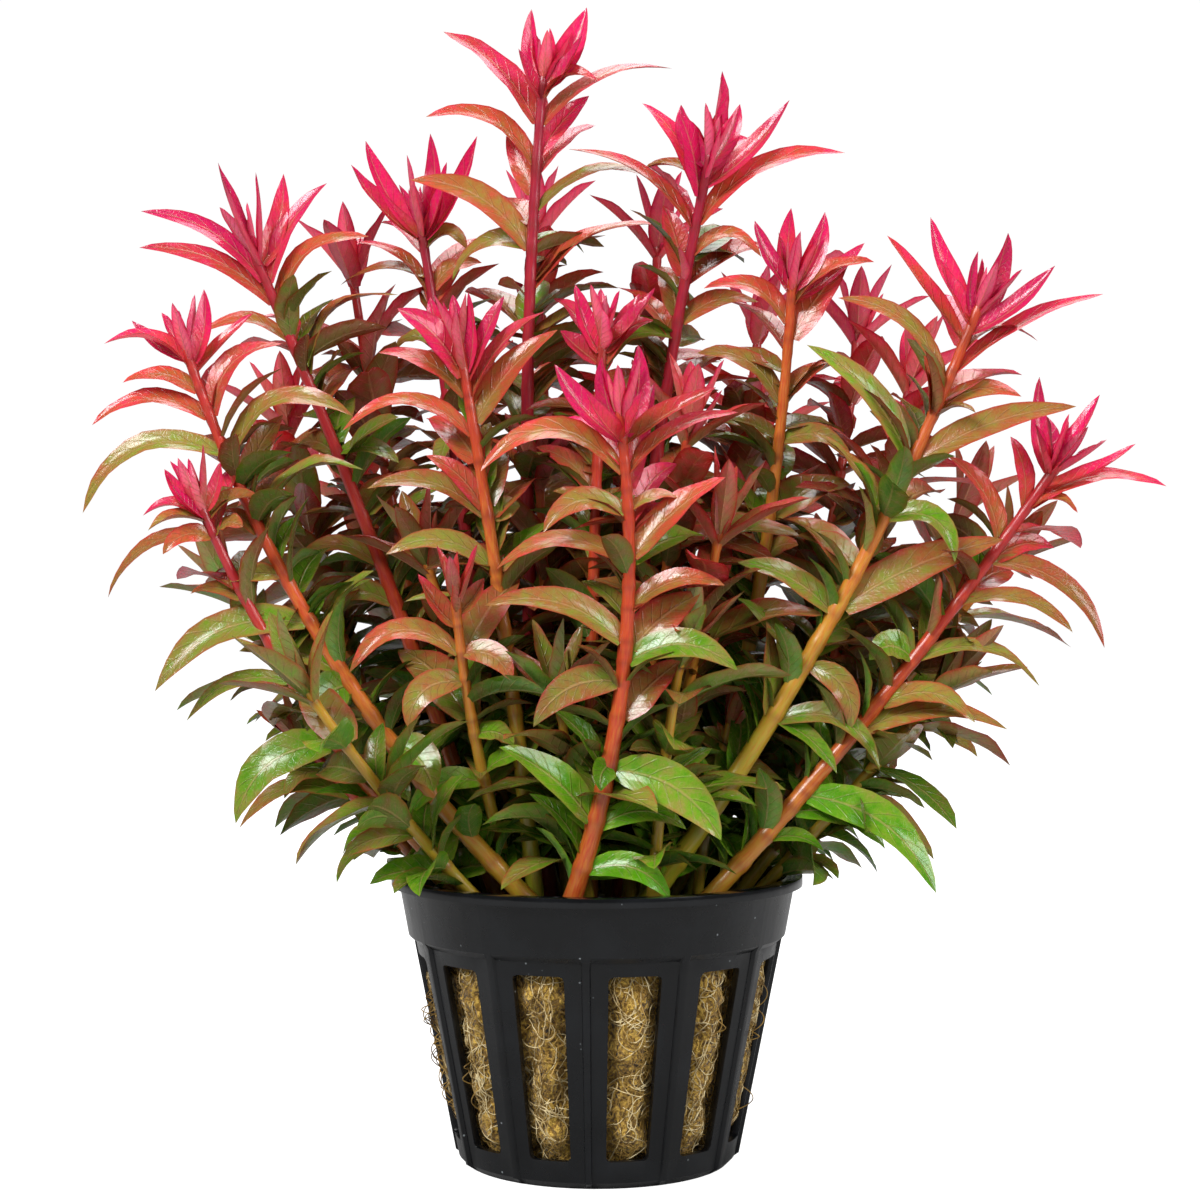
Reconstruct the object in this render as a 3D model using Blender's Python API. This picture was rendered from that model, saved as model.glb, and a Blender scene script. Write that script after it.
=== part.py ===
"""Rotala, an aquarium plant: a bunch of leafy cuttings planted in rock wool, in a black net pot."""

import random
from itertools import product
from math import atan2, cos, pi, radians, sin

import bmesh
import bpy
from mathutils import Vector
from mathutils.bvhtree import BVHTree

MM = 0.001

# Net pot, all radii from its axis and heights from the surface it stands on
POT_RIM_RADIUS = 27.5 * MM
POT_HEIGHT = 38.0 * MM
LIP_THICKNESS = 1.2 * MM
LIP_INNER_RADIUS = 25.4 * MM
COLLAR_TOP_RADIUS = 26.4 * MM
COLLAR_FOOT_RADIUS = 25.2 * MM
COLLAR_FOOT_HEIGHT = 30.3 * MM
WALL_TOP_RADIUS = 24.2 * MM
WALL_TOP_HEIGHT = 29.5 * MM
WALL_FOOT_RADIUS = 18.5 * MM
BASE_RADIUS = 17.6 * MM
BASE_CHAMFER = 0.9 * MM
BASE_THICKNESS = 1.4 * MM
WALL = 1.0 * MM
SLOT_COUNT = 12
SLOT_BOTTOM = 3.7 * MM
SLOT_TOP = 27.8 * MM
SLOT_ANGLE = radians(16.5)
FIRST_SLOT_ANGLE = radians(-108.2)
DRAIN_INNER_RADIUS = 7.0 * MM
DRAIN_OUTER_RADIUS = 14.5 * MM
DRAIN_WIDTH = 2.6 * MM

# Rock-wool plug
PLUG_GAP = 0.7 * MM
PLUG_BOTTOM = 1.9 * MM
PLUG_TOP = 33.0 * MM
PLUG_LUMP = 0.45 * MM
PLUG_COLUMNS = 24
PLUG_RINGS = 6

# Stems, which are square tubes so that each side can carry a leaf
STEM_SIDES = 4
ROOT_DEPTH = 4.5 * MM
ROOT_LEAN = 0.4
COLLET_RISE = 1.2 * MM
SOCKET_GAP = 0.3 * MM
CLEARANCE = 0.12 * MM
TIP_RADIUS = 0.62 * MM
BUD_LENGTH = 2.6 * MM
NODE_STEP = 1.25 * MM
SAME_NODE = 0.9 * MM
LONGEST_BARE_STEM = 13.0 * MM
BARE_STEM_SHARE = 0.7
HEIGHT_HALVINGS = 24

# Where leaves stand on a stem
LOWEST_LEAF_HEIGHT = 41.0 * MM
HIGHEST_PAIR = 0.97
PAIR_CROWDING = 1.3
CROWN_PAIRS = 2
CROWN_STEP = 1.3 * MM
CROWN_DEPTH = 3.0 * MM
BACK_LEAF_STEP = 8.5 * MM
BACK_LEAF_STRETCH = 1.15
BACK_LEAF_CROWDING = 0.4
BACK_LEAF_SWING = 38
BACK_LEAF_SPREAD = 12
UPRIGHT_LIFT = 1.6 * MM
MOST_LEAVES = 435

# The form of a leaf: shares are of its length, angles in degrees
LEAF_LENGTH = 12.5 * MM
LEAF_LENGTH_GAIN = 3.5 * MM
LEAF_LENGTH_SPREAD = 0.12
LEAF_WIDTH = 0.36
LEAF_WIDTH_LOSS = 0.12
LEAF_WIDTH_SPREAD = 0.08
LEAF_RISE = 6
LEAF_RISE_GAIN = 34
LEAF_RISE_SPREAD = 9
LEAF_ARCH = 0.26
LEAF_ARCH_LOSS = 0.08
LEAF_ROLL_SPREAD = 28
LEAF_YAW_SPREAD = 14
CROWN_LEAF_LENGTH = 11.5 * MM
CROWN_LEAF_LOSS = 1.2 * MM
CROWN_LENGTH_SPREAD = 0.06
CROWN_LEAF_WIDTH = 0.3
CROWN_LEAF_RISE = 58
CROWN_RISE_GAIN = 14
CROWN_RISE_SPREAD = 4
CROWN_LEAF_ARCH = -0.08
CROWN_ROLL_SPREAD = 12
KEEL_SHARE = 0.13
LEAF_MIDDLE = 0.42
LEAF_NECK = 0.12
LEAF_NECK_WIDTH = 0.5
LEAF_BASE_RISE = 0.9 * MM
LEAF_BASE_INSET = 0.7
INWARD_TURN = 0.4
INCURVED = -0.14
LEAST_CROWN_ARCH = 0.3
FULLNESS = 1.2
CROWN_FULLNESS = 1.4

# Leaves are left out that would hang into the pot: this near its axis none can
POT_CORE_RADIUS = 10 * MM

# The smooth tube round a stem that other stems' leaves keep clear of
TUBE_STATIONS = 16
TUBE_SIDES = 6
TUBE_MARGIN = 1.1

# Each cutting in millimetres: its foot on the wool (x, y), the base of its crown (x, y, z), how far its
# middle bows off the straight line (x, z), its radius at the foot, its leaf pairs and the compass angle
# of the lowest pair in degrees. The first twenty-six are the ones that the front view tells apart.
STEMS = {
    "stem_01": ((-5.0, -16.8), (-53.3, -8.0, 106.1), (-9.0, -5.9), 1.35, 10, 0),
    "stem_02": ((-12.4, -3.6), (-46.4, 4.0, 121.2), (2.3, 0.9), 1.30, 9, 90),
    "stem_03": ((-12.6, -10.6), (-50.5, -14.0, 86.0), (-5.9, -4.1), 1.25, 8, 0),
    "stem_04": ((-17.3, 3.2), (-39.4, 2.0, 55.1), (-1.5, 0.8), 1.00, 3, 0),
    "stem_05": ((-6.4, 4.1), (-7.4, 2.0, 143.9), (-5.1, 0.2), 1.35, 10, 0),
    "stem_06": ((3.2, 8.5), (14.8, -2.0, 132.7), (-4.6, 0.8), 1.35, 9, 90),
    "stem_07": ((-12.1, 8.9), (-24.2, 10.0, 125.2), (1.2, 0.3), 1.20, 8, 0),
    "stem_08": ((-7.6, -12.6), (-17.6, -12.0, 106.7), (1.5, 0.2), 1.25, 10, 90),
    "stem_09": ((-4.6, -20.2), (3.0, -24.0, 96.4), (7.8, -1.4), 1.35, 10, 0),
    "stem_10": ((-0.8, -5.1), (0.7, -4.0, 108.5), (-1.1, 0.0), 1.10, 7, 90),
    "stem_11": ((12.3, 0.3), (25.9, -3.0, 115.9), (4.4, -0.7), 1.25, 9, 0),
    "stem_12": ((4.4, -11.8), (48.4, -14.0, 110.9), (5.3, -3.2), 1.50, 10, 0),
    "stem_13": ((10.8, -15.6), (59.1, -9.0, 91.0), (2.2, -1.8), 1.30, 9, 0),
    "stem_14": ((19.0, 4.6), (42.5, 6.0, 102.7), (4.1, -0.5), 1.15, 7, 90),
    "stem_15": ((-14.6, 12.0), (-34.1, 15.0, 118.4), (-3.2, -0.7), 1.10, 6, 90),
    "stem_16": ((2.1, 14.8), (8.5, 18.0, 123.2), (1.1, 0.2), 1.10, 6, 0),
    "stem_17": ((-17.0, 9.6), (-44.1, 22.0, 98.2), (-6.7, -2.5), 1.10, 6, 0),
    "stem_18": ((-9.6, -6.6), (-17.7, -20.0, 73.7), (-2.4, -0.4), 1.00, 5, 0),
    "stem_19": ((5.8, -6.6), (15.5, -13.0, 81.8), (0.1, 0.0), 1.00, 5, 90),
    "stem_20": ((13.0, -6.8), (17.0, -7.6, 57.0), (-1.3, 0.2), 0.80, 3, 0),
    "stem_21": ((16.6, 11.6), (37.1, 22.0, 111.3), (6.5, -1.3), 1.10, 6, 0),
    "stem_22": ((8.9, 16.3), (23.2, 26.0, 111.7), (2.0, -0.4), 1.10, 6, 90),
    "stem_23": ((4.0, -1.8), (11.7, -7.0, 94.9), (-1.3, 0.2), 1.00, 6, 0),
    "stem_24": ((-3.7, 0.0), (-7.7, 2.0, 89.3), (-0.9, 0.0), 1.00, 5, 45),
    "stem_25": ((17.4, 0.0), (53.7, 4.0, 78.2), (-0.6, 0.5), 1.00, 5, 0),
    "stem_26": ((6.9, -16.8), (10.4, -17.5, 66.0), (-1.0, 0.1), 0.90, 4, 90),
    "stem_27": ((-6.0, 17.6), (-20.0, 40.0, 106.0), (-2.0, -3.0), 1.15, 7, 0),
    "stem_28": ((1.5, 19.4), (1.0, 46.0, 110.0), (0.5, -4.0), 1.15, 7, 0),
    "stem_29": ((13.0, 16.2), (25.0, 43.0, 98.0), (2.0, -3.0), 1.15, 7, 90),
    "stem_30": ((-10.6, 16.6), (-36.0, 38.0, 88.0), (-4.0, 0.0), 1.10, 6, 0),
    "stem_31": ((17.6, 8.2), (52.0, 26.0, 86.0), (2.0, 1.0), 1.10, 6, 90),
    "stem_32": ((-2.2, 11.6), (-9.0, 29.0, 127.0), (-1.0, 0.0), 1.15, 7, 90),
    "stem_33": ((-8.0, 13.2), (-26.0, 29.0, 76.0), (-1.0, -1.0), 1.00, 4, 0),
    "stem_34": ((5.6, 11.6), (14.0, 34.0, 82.0), (1.0, -1.0), 1.00, 4, 45),
    "stem_35": ((9.2, 7.4), (35.0, 12.5, 72.0), (1.0, -1.0), 1.00, 4, 0),
    "stem_36": ((-17.8, 6.4), (-50.0, 14.0, 74.0), (-3.0, -1.0), 1.00, 5, 90),
    "stem_37": ((5.2, 19.0), (9.0, 50.0, 72.0), (0.0, 4.0), 1.00, 4, 0),
    "stem_38": ((-0.6, -12.8), (-4.5, -17.0, 60.0), (0.0, 0.0), 0.85, 3, 45),
    "stem_39": ((-12.0, -15.4), (-35.0, -24.0, 62.0), (-2.0, 0.0), 0.95, 3, 90),
    "stem_40": ((18.4, -4.4), (44.0, -8.0, 62.0), (1.0, 0.0), 0.95, 4, 90),
    "stem_41": ((-7.4, 0.4), (-22.0, -4.0, 78.0), (0.0, 0.0), 0.95, 4, 0),
    "stem_42": ((8.6, 2.6), (22.0, 8.0, 84.0), (1.0, 0.0), 0.95, 4, 90),
}

# Leaves that the front view tells apart, by cutting, in millimetres and degrees: the height they grow at,
# their tip from there (x, y, z), their width, how far their face is turned to the front, and their arch
PLACED = {
    "stem_01": (
        (56, 5.5, -5, -5.5, 4.2, 70, 0.25), (64, -5, -4, -6, 4.0, 60, 0.35),
        (66, -13.5, 4, 2, 3.4, 35, 0.2), (72, -19.5, -3, -9, 3.6, 60, 0.35),
        (78, -6.5, -3, -1, 2.4, 50, 0.2), (83.5, -6.5, 2, 2.5, 2.2, 30, 0.3),
        (83.5, 13.5, -2, 8, 4.0, 30, 0.55), (88.5, -3.5, -4, -2.5, 1.8, 40, 0.4),
        (89, 5, 3, 10, 2.6, 60, 0.15), (93, 16.5, -2, 5.5, 3.2, 35, 0.6), (94, -18.5, 0, -8, 2.8, 45, 0.5),
        (98.5, -15.5, 0, -1, 2.6, 40, 0.4), (98.5, 9, 3, 10, 2.8, 45, 0.45),
        (102, -10, -1, 1, 2.4, 45, 0.35), (104.5, 7.5, 2, 8, 1.8, 20, 0.2),
        (105.5, -11, -2, 2.5, 2.2, 40, 0.4), (105.5, 1.5, 1, 10, 2.2, 70, 0.05),
        (106, -8, 2, 5.5, 2.0, 50, 0.15), (106, -1.5, -2, 6.5, 1.6, 60, 0.1),
    ),
    "stem_02": (
        (74.5, -9.5, -3, -1.5, 2.8, 50, 0.45), (80, -11.5, -2, -1, 2.6, 40, 0.5),
        (94.5, -6, 3, 1, 2.6, 35, 0.4), (94.5, 8.5, -3, -1.5, 2.6, 45, 0.3),
        (105, 12.5, 0, 11, 3.6, 30, 0.55), (110, -13, 2, 0.5, 2.2, 30, 0.4),
        (110, -1, 3, 7.5, 2.6, 70, 0.1), (114.5, 12.5, 0, 9.5, 3.0, 35, 0.45),
        (115, -18.5, 0, 7.5, 2.4, 45, 0.25), (117.5, 8, 1, 14, 2.4, 50, 0.2),
        (118, -17, 0, 9.5, 2.2, 45, 0.25), (120, -5.5, -1, 14, 2.8, 60, 0.12),
        (120, 3, 2, 13, 2.4, 70, 0.08), (120.5, 0, -2, 12, 1.6, 60, 0.05),
    ),
    "stem_03": (
        (52, 6.5, -4, -3, 2.8, 50, 0.3), (56.5, -12.5, -2, -10.5, 4.0, 65, 0.4),
        (64, -9, 4, -2.5, 2.0, 30, 0.3), (64.5, -14, 2, -5.5, 2.0, 50, 0.35),
        (69, 3.5, 3, 0.5, 2.0, 40, 0.4), (75, -7.5, 3, 0.5, 2.0, 40, 0.3), (83, -14, 2, -8, 2.0, 45, 0.4),
        (83, -6, -3, -2.5, 2.0, 60, 0.4), (83, 4, -2, 1, 2.4, 40, 0.5), (85, -7, -3, -1.5, 2.0, 35, 0.3),
        (85, 7, 2, 2.5, 2.4, 30, 0.4), (85.5, -8, 0, 0, 2.0, 40, 0.4), (85.5, -4, -2, 4, 1.8, 50, 0.15),
        (86, -5, 0, 5.5, 1.8, 60, 0.1), (86, -1.5, -1, 6.5, 1.6, 60, 0.05), (86, 2, 1, 6.5, 1.8, 60, 0.1),
    ),
    "stem_04": (
        (42.5, -8, -1, -6, 2.2, 45, 0.4), (44, -6, 2, -4, 2.2, 30, 0.35),
        (48.5, -15, -2, -4.5, 2.4, 40, 0.45), (48.5, 2, 3, 0.5, 2.2, 40, 0.4),
        (51.5, -6, -2, -3.5, 2.2, 35, 0.5), (53, -8, 0, 2, 1.8, 50, 0.2), (53.5, -5, -2, 0, 1.8, 45, 0.2),
        (53.5, -3, 1, 3.5, 1.8, 60, 0.1),
    ),
    "stem_05": (
        (117, 17, 0, 8.5, 3.4, 35, 0.3), (122, -16.5, 0, 9.5, 3.2, 55, 0.3),
        (122.5, -11, 4, -4, 3.0, 40, 0.5), (123.5, 7, 3, -1.5, 1.8, 20, 0.4),
        (127.5, 17.5, -2, 3.5, 2.4, 40, 0.4), (129.5, -4, 3, 8.5, 2.4, 60, 0.1),
        (133.5, -15, 0, 6.5, 2.8, 45, 0.4), (135, 7, 3, 8.5, 2.2, 55, 0.1),
        (139, -13, 0, 12.5, 3.0, 50, 0.2), (139, 18, 0, 7.5, 3.0, 40, 0.3),
        (142.5, -3, -3, 6, 2.2, 60, 0.1), (142.5, 7.5, -2, 2, 2.4, 30, 0.5),
        (143, 5.5, -2, 7.5, 2.4, 60, 0.1), (144, -1.5, 2, 11, 2.2, 70, 0.05), (144, 1, 0, 8, 1.2, 60, 0),
        (144, 6, 1, 11, 3.2, 65, 0.1),
    ),
    "stem_06": (
        (110, -9.5, -2, -5, 2.8, 40, 0.5), (112, 11, 2, 3, 2.6, 45, 0.3), (117.5, -1, -3, 4, 1.8, 45, 0.1),
        (118, -3, 2, 10, 2.8, 55, 0.1), (121, 9.5, -1, -0.5, 2.6, 35, 0.6),
        (124.5, -17, 0, 10.5, 2.6, 40, 0.25), (125, 20, 0, 9.5, 2.8, 45, 0.3),
        (128.5, -3, -3, 10.5, 4.2, 70, 0.12), (129, -8, 2, 12.5, 2.2, 50, 0.2),
        (130, 11.5, 0, 11.5, 2.6, 50, 0.1), (130.5, -8, 4, 2.5, 1.8, 40, 0.3),
        (131, 2, -2, 6.5, 1.6, 60, 0.05), (132.5, -3.5, 1, 8.5, 2.4, 60, 0.1),
        (132.5, 2, 1, 13, 3.4, 70, 0.08), (132.5, 4.5, 3, 9, 2.0, 60, 0.05),
    ),
    "stem_07": (
        (97.5, -2, -2, -5, 2.6, 40, 0.4), (110.5, -6, 0, -1, 2.4, 40, 0.4),
        (117.5, -10, -1, 6.5, 2.4, 40, 0.3), (117.5, 7, 1, 4, 2.4, 40, 0.4),
        (119.5, -12.5, 2, -1, 2.2, 30, 0.3), (123.5, 6, -1, -0.5, 2.4, 35, 0.7),
        (124.5, -10, 0, 10.5, 2.6, 50, 0.2), (124.5, 7.5, 0, 14.5, 2.8, 60, 0.12),
        (125, -8, 1, 13.5, 2.6, 55, 0.12), (125, -2, -2, 11, 1.8, 65, 0.05),
        (125, 1, 1, 14.5, 2.4, 70, 0.06), (125, 3.5, -2, 10, 2.0, 60, 0.08),
    ),
    "stem_08": (
        (64, 5.5, 3, -2.5, 2.6, 45, 0.3), (71, -12.5, -3, 3.5, 2.4, 35, 0.3),
        (78.5, 4.5, 2, 1.5, 2.0, 40, 0.3), (79, -14, -2, 1.5, 2.6, 50, 0.4), (85, 4, 3, 2, 2.6, 45, 0.3),
        (85.5, -15.5, -1, 3.5, 2.6, 50, 0.35), (86.5, -8, 2, 7, 2.4, 50, 0.2),
        (96, -17, -1, 0.5, 2.4, 45, 0.5), (97.5, 11, -1, 12, 3.4, 65, 0.15),
        (101, -11.5, -1, 5.5, 2.6, 45, 0.3), (101, 10, 0, 11, 2.6, 35, 0.2), (103, 5, 0, 11, 2.2, 35, 0.05),
        (103.5, -8.5, -3, 8.5, 3.4, 65, 0.2), (104, -4.5, 1, 10, 2.6, 60, 0.08),
        (104, 0.5, 0, 10.5, 1.8, 60, 0.05), (104.5, -1, -1, 8.5, 2.0, 65, 0.05),
    ),
    "stem_09": (
        (41, 11, -3, -3.5, 2.8, 60, 0.4), (46.5, 11.5, -1, -0.5, 2.6, 55, 0.4),
        (47, -12, -4, 9.5, 3.8, 65, 0.15), (53.5, 14, -4, -8.5, 4.2, 70, 0.3),
        (54, -1, -3, -3, 2.6, 60, 0.4), (54.5, 4, 2, -2, 1.6, 50, 0.4), (60, 8, 2, 7, 3.6, 60, 0.1),
        (64.5, -11, -3, -5.5, 3.2, 65, 0.35), (67, 14, -3, -1, 3.2, 55, 0.4),
        (68, 9.5, 2, 7.5, 3.8, 60, 0.15), (69.5, -17.5, -3, 4.5, 3.2, 60, 0.3),
        (73.5, 12, -2, 3, 2.6, 50, 0.35), (79.5, -16.5, -1, -1, 2.6, 45, 0.4),
        (80, 12, 0, 10, 3.4, 60, 0.12), (85.5, -10.5, -3, -2.5, 2.8, 55, 0.5),
        (86, 6.5, 1, 1.5, 2.0, 25, 0.3), (88.5, 3.5, 3, 13.5, 2.2, 65, 0.08),
        (90.5, -18, -2, 0, 2.8, 45, 0.6), (90.5, 14, 0, 7.5, 2.2, 30, 0.25),
        (94, 11.5, -1, 7, 2.4, 45, 0.25), (94.5, -8.5, 0, 9.5, 2.8, 55, 0.12),
        (94.5, -4.5, -4, 5.5, 2.4, 65, 0.15), (95, -2.5, 1, 10, 2.0, 65, 0.05),
        (95, 2, 1, 11.5, 2.4, 70, 0.06), (95, 2.5, -3, 5.5, 2.0, 60, 0.1),
    ),
    "stem_10": (
        (74.5, -5, 3, -3.5, 2.8, 50, 0.3), (88, 7, 2, -2.5, 2.6, 45, 0.35), (89, -8, 1, 6, 2.6, 50, 0.25),
        (98, -7, 1, 1.5, 2.6, 45, 0.35), (98.5, 8, 2, 3, 2.8, 40, 0.3), (106, -5.5, 1, 4.5, 2.8, 55, 0.2),
        (106, 7, 2, 6, 2.6, 50, 0.3), (107.5, -3.5, 0, 9, 2.6, 60, 0.1), (107.5, 5, 1, 8, 2.6, 55, 0.1),
        (108, 0, -2, 5, 2.2, 65, 0.05), (108, 7, -1, 8, 2.4, 45, 0.1),
    ),
    "stem_11": (
        (80.5, 4.5, -1, 1.5, 2.4, 50, 0.4), (85.5, -6.5, 0, -2.5, 2.6, 45, 0.4),
        (96, 9.5, -1, -3, 2.8, 50, 0.45), (101, -11.5, -1, 6.5, 2.8, 45, 0.4),
        (102, 6, 2, 4.5, 2.2, 45, 0.2), (109.5, 8.5, 1, 11, 3.4, 60, 0.08),
        (111.5, -11.5, -1, 4.5, 2.6, 45, 0.45), (114, 11, -1, 5.5, 2.4, 35, 0.3),
        (114.5, 10, 2, 8, 2.4, 45, 0.15), (116, -5, -1, 9, 2.2, 50, 0.15), (116, 0, 1, 11, 2.2, 65, 0.05),
        (116, 1, -2, 7.5, 2.0, 65, 0.05), (116, 4.5, 1, 10.5, 2.2, 65, 0.08),
    ),
    "stem_12": (
        (59.5, -1, -2, 12.5, 3.8, 70, 0.08), (59.5, 8, -3, -7, 2.0, 40, 0.2),
        (59.5, 13.5, -3, -6.5, 2.6, 50, 0.5), (66.5, 5.5, -2, -8.5, 2.6, 60, 0.5),
        (73, -12.5, -2, 6.5, 3.0, 60, 0.2), (74, 21.5, 1, 8.5, 4.0, 60, 0.12),
        (85.5, -9.5, 0, 11, 2.6, 50, 0.2), (85.5, 8.5, -3, -6, 2.8, 50, 0.6),
        (92.5, -13.5, 0, 15, 3.2, 55, 0.2), (92.5, 21, -1, 7, 3.0, 60, 0.15),
        (98.5, -1.5, -2, 7.5, 2.8, 70, 0.1), (98.5, 5, -3, 0, 1.6, 30, 0.4),
        (99, 11.5, 2, 2, 2.2, 40, 0.35), (102.5, -14, 0, 11, 2.4, 45, 0.35),
        (104, 19.5, 0, 10, 2.2, 35, 0.15), (107, 10, 1, 1, 2.0, 20, 0.5), (108, -10, 0, 13.5, 2.2, 45, 0.2),
        (109, 11, -1, 8.5, 2.4, 50, 0.15), (110, -4.5, -3, 8, 2.6, 60, 0.1),
        (111, -5.5, 1, 13, 2.2, 60, 0.12), (111, 0.5, 0, 8.5, 1.2, 60, 0), (111, 4.5, 1, 11, 2.8, 65, 0.08),
    ),
    "stem_13": (
        (44.5, 7.5, 0, -2, 2.0, 40, 0.3), (48, 12.5, 2, -5.5, 2.8, 50, 0.3),
        (50, 16.5, -4, -12.5, 4.0, 65, 0.3), (58, 19.5, 0, 0, 3.0, 50, 0.3),
        (61.5, 12, -3, -2.5, 2.8, 50, 0.45), (67, -6, -3, 0, 3.4, 60, 0.5), (67.5, 16, 0, -4, 2.2, 45, 0.4),
        (70, 0.5, -2, 8.5, 3.4, 70, 0.05), (74.5, -4, -1, 6, 1.8, 40, 0.2),
        (74.5, 14.5, -2, -4, 2.2, 40, 0.35), (80, 9, 3, 1.5, 2.6, 50, 0.3),
        (80, 14.5, -2, -11.5, 2.6, 50, 0.35), (82, -7, 0, 11.5, 3.2, 45, 0.25),
        (86.5, -2, 0, 9.5, 2.2, 50, 0.2), (87, 6, -2, -1, 1.8, 30, 0.5), (87, 18, 0, 2.5, 2.2, 35, 0.3),
        (89.5, 12, -1, 5.5, 2.2, 35, 0.25), (91, -2.5, -3, 6.5, 2.2, 60, 0.15),
        (91, -1, 2, 13, 2.0, 55, 0.12), (91, 2.5, 0, 8, 1.8, 60, 0.05), (91, 6.5, 0, 10.5, 2.8, 65, 0.08),
    ),
    "stem_18": (
        (51.5, -9.5, -3, -4.5, 2.6, 55, 0.4), (57.5, 5, -1, -1.5, 2.6, 45, 0.4),
        (64.5, -7, -3, -6, 3.0, 65, 0.5), (68, -14, -2, -2.5, 2.4, 50, 0.6),
        (68, 6.5, -3, -3.5, 2.6, 60, 0.4), (71.5, -5, -1, 6.5, 2.4, 60, 0.12),
        (73, 3.5, 0, 4.5, 2.0, 55, 0.1), (73.5, 0, -2, 5, 1.8, 70, 0),
    ),
    "stem_20": (
        (54, 5, 0, 2, 2.0, 50, 0.3), (54.5, -5.5, -1, 1.5, 2.2, 45, 0.3), (56, -3, -1, 2, 1.6, 50, 0.1),
        (56, -1, -1, 3, 1.4, 60, 0),
    ),
}

# Colours of the plain solids
POT_COLOUR = (0.022, 0.026, 0.031)
PLUG_COLOUR = (0.42, 0.27, 0.07)
STEM_COLOUR = (0.45, 0.16, 0.06)


def material(name, colour, roughness):
    """A plain Principled material."""
    made = bpy.data.materials.new(name)
    made.use_nodes = True
    made.diffuse_color = (*colour, 1.0)
    shader = made.node_tree.nodes["Principled BSDF"]
    shader.inputs["Base Color"].default_value = (*colour, 1.0)
    shader.inputs["Roughness"].default_value = roughness
    shader.inputs["Metallic"].default_value = 0.0
    return made


def add_object(name, mesh, finish):
    """Puts a mesh in the scene under its name, with its material."""
    made = bpy.data.objects.new(name, mesh)
    mesh.materials.append(finish)
    bpy.context.scene.collection.objects.link(made)
    return made


def on_circle(radius, angle, height):
    """A point at this radius, angle and height."""
    return Vector((radius * cos(angle), radius * sin(angle), height))


def wall_radius(height):
    """The outer radius of the tapered wall at a height."""
    share = (height - BASE_CHAMFER) / (WALL_TOP_HEIGHT - BASE_CHAMFER)
    return WALL_FOOT_RADIUS + share * (WALL_TOP_RADIUS - WALL_FOOT_RADIUS)


def pot_columns():
    """The angles of the pot's columns, and whether the stretch after each is open in a slot."""
    pitch = 2 * pi / SLOT_COUNT
    columns = []
    for slot in range(SLOT_COUNT):
        start = FIRST_SLOT_ANGLE + slot * pitch - SLOT_ANGLE / 2
        panel = start + SLOT_ANGLE
        columns += [
            (start, True),
            (start + SLOT_ANGLE / 2, True),
            (panel, False),
            (panel + (pitch - SLOT_ANGLE) / 2, False),
        ]
    return columns


def pot_profiles():
    """The outer and the inner outline as (radius, height), level with each other, bottom to top."""
    outer = [
        (WALL_FOOT_RADIUS, BASE_CHAMFER),
        (wall_radius(SLOT_BOTTOM), SLOT_BOTTOM),
        (wall_radius(SLOT_TOP), SLOT_TOP),
        (WALL_TOP_RADIUS, WALL_TOP_HEIGHT),
        (COLLAR_FOOT_RADIUS, COLLAR_FOOT_HEIGHT),
        (COLLAR_TOP_RADIUS, POT_HEIGHT - LIP_THICKNESS),
        (POT_RIM_RADIUS, POT_HEIGHT - LIP_THICKNESS),
        (POT_RIM_RADIUS, POT_HEIGHT),
    ]
    inner = [
        (WALL_FOOT_RADIUS - WALL, BASE_THICKNESS),
        (wall_radius(SLOT_BOTTOM) - WALL, SLOT_BOTTOM),
        (wall_radius(SLOT_TOP) - WALL, SLOT_TOP),
        (WALL_TOP_RADIUS - WALL, COLLAR_FOOT_HEIGHT),
        (COLLAR_FOOT_RADIUS - WALL, COLLAR_FOOT_HEIGHT + WALL),
        (LIP_INNER_RADIUS, POT_HEIGHT),
    ]
    return outer, inner


def make_pot(finish):
    """The net pot: a turned wall with twelve slots, a collar, a lip and a base with drain slots."""
    bm = bmesh.new()
    columns = pot_columns()
    count = len(columns)
    outer, inner = pot_profiles()
    rings = [(BASE_RADIUS, 0.0), *outer, *reversed(inner)]
    verts = [[bm.verts.new(on_circle(r, angle, z)) for angle, _ in columns] for r, z in rings]
    slot_outer = 2
    slot_inner = len(rings) - 3
    for ring in range(len(rings) - 1):
        low, high = verts[ring], verts[ring + 1]
        for i, (_, is_open) in enumerate(columns):
            if is_open and ring in (slot_outer, slot_inner):
                continue
            j = (i + 1) % count
            bm.faces.new((low[i], low[j], high[j], high[i]))
    for i, (_, is_open) in enumerate(columns):
        j = (i + 1) % count
        if not is_open:
            continue
        out_low, out_high = verts[slot_outer], verts[slot_outer + 1]
        in_high, in_low = verts[slot_inner], verts[slot_inner + 1]
        bm.faces.new((out_low[i], out_low[j], in_low[j], in_low[i]))
        bm.faces.new((out_high[j], out_high[i], in_high[i], in_high[j]))
        if not columns[i - 1][1]:
            bm.faces.new((out_low[i], in_low[i], in_high[i], out_high[i]))
        if not columns[j][1]:
            bm.faces.new((out_low[j], out_high[j], in_high[j], in_low[j]))
    bm.faces.new(verts[-1])
    bm.faces.new(tuple(reversed(verts[0])))
    bmesh.ops.recalc_face_normals(bm, faces=bm.faces)
    mesh = bpy.data.meshes.new("net_pot")
    bm.to_mesh(mesh)
    bm.free()
    pot = add_object("net_pot", mesh, finish)
    cut = pot.modifiers.new("drain slots", "BOOLEAN")
    cut.operation = "DIFFERENCE"
    cut.solver = "EXACT"
    cut.object = make_drain_cutter(finish)
    return pot


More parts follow.
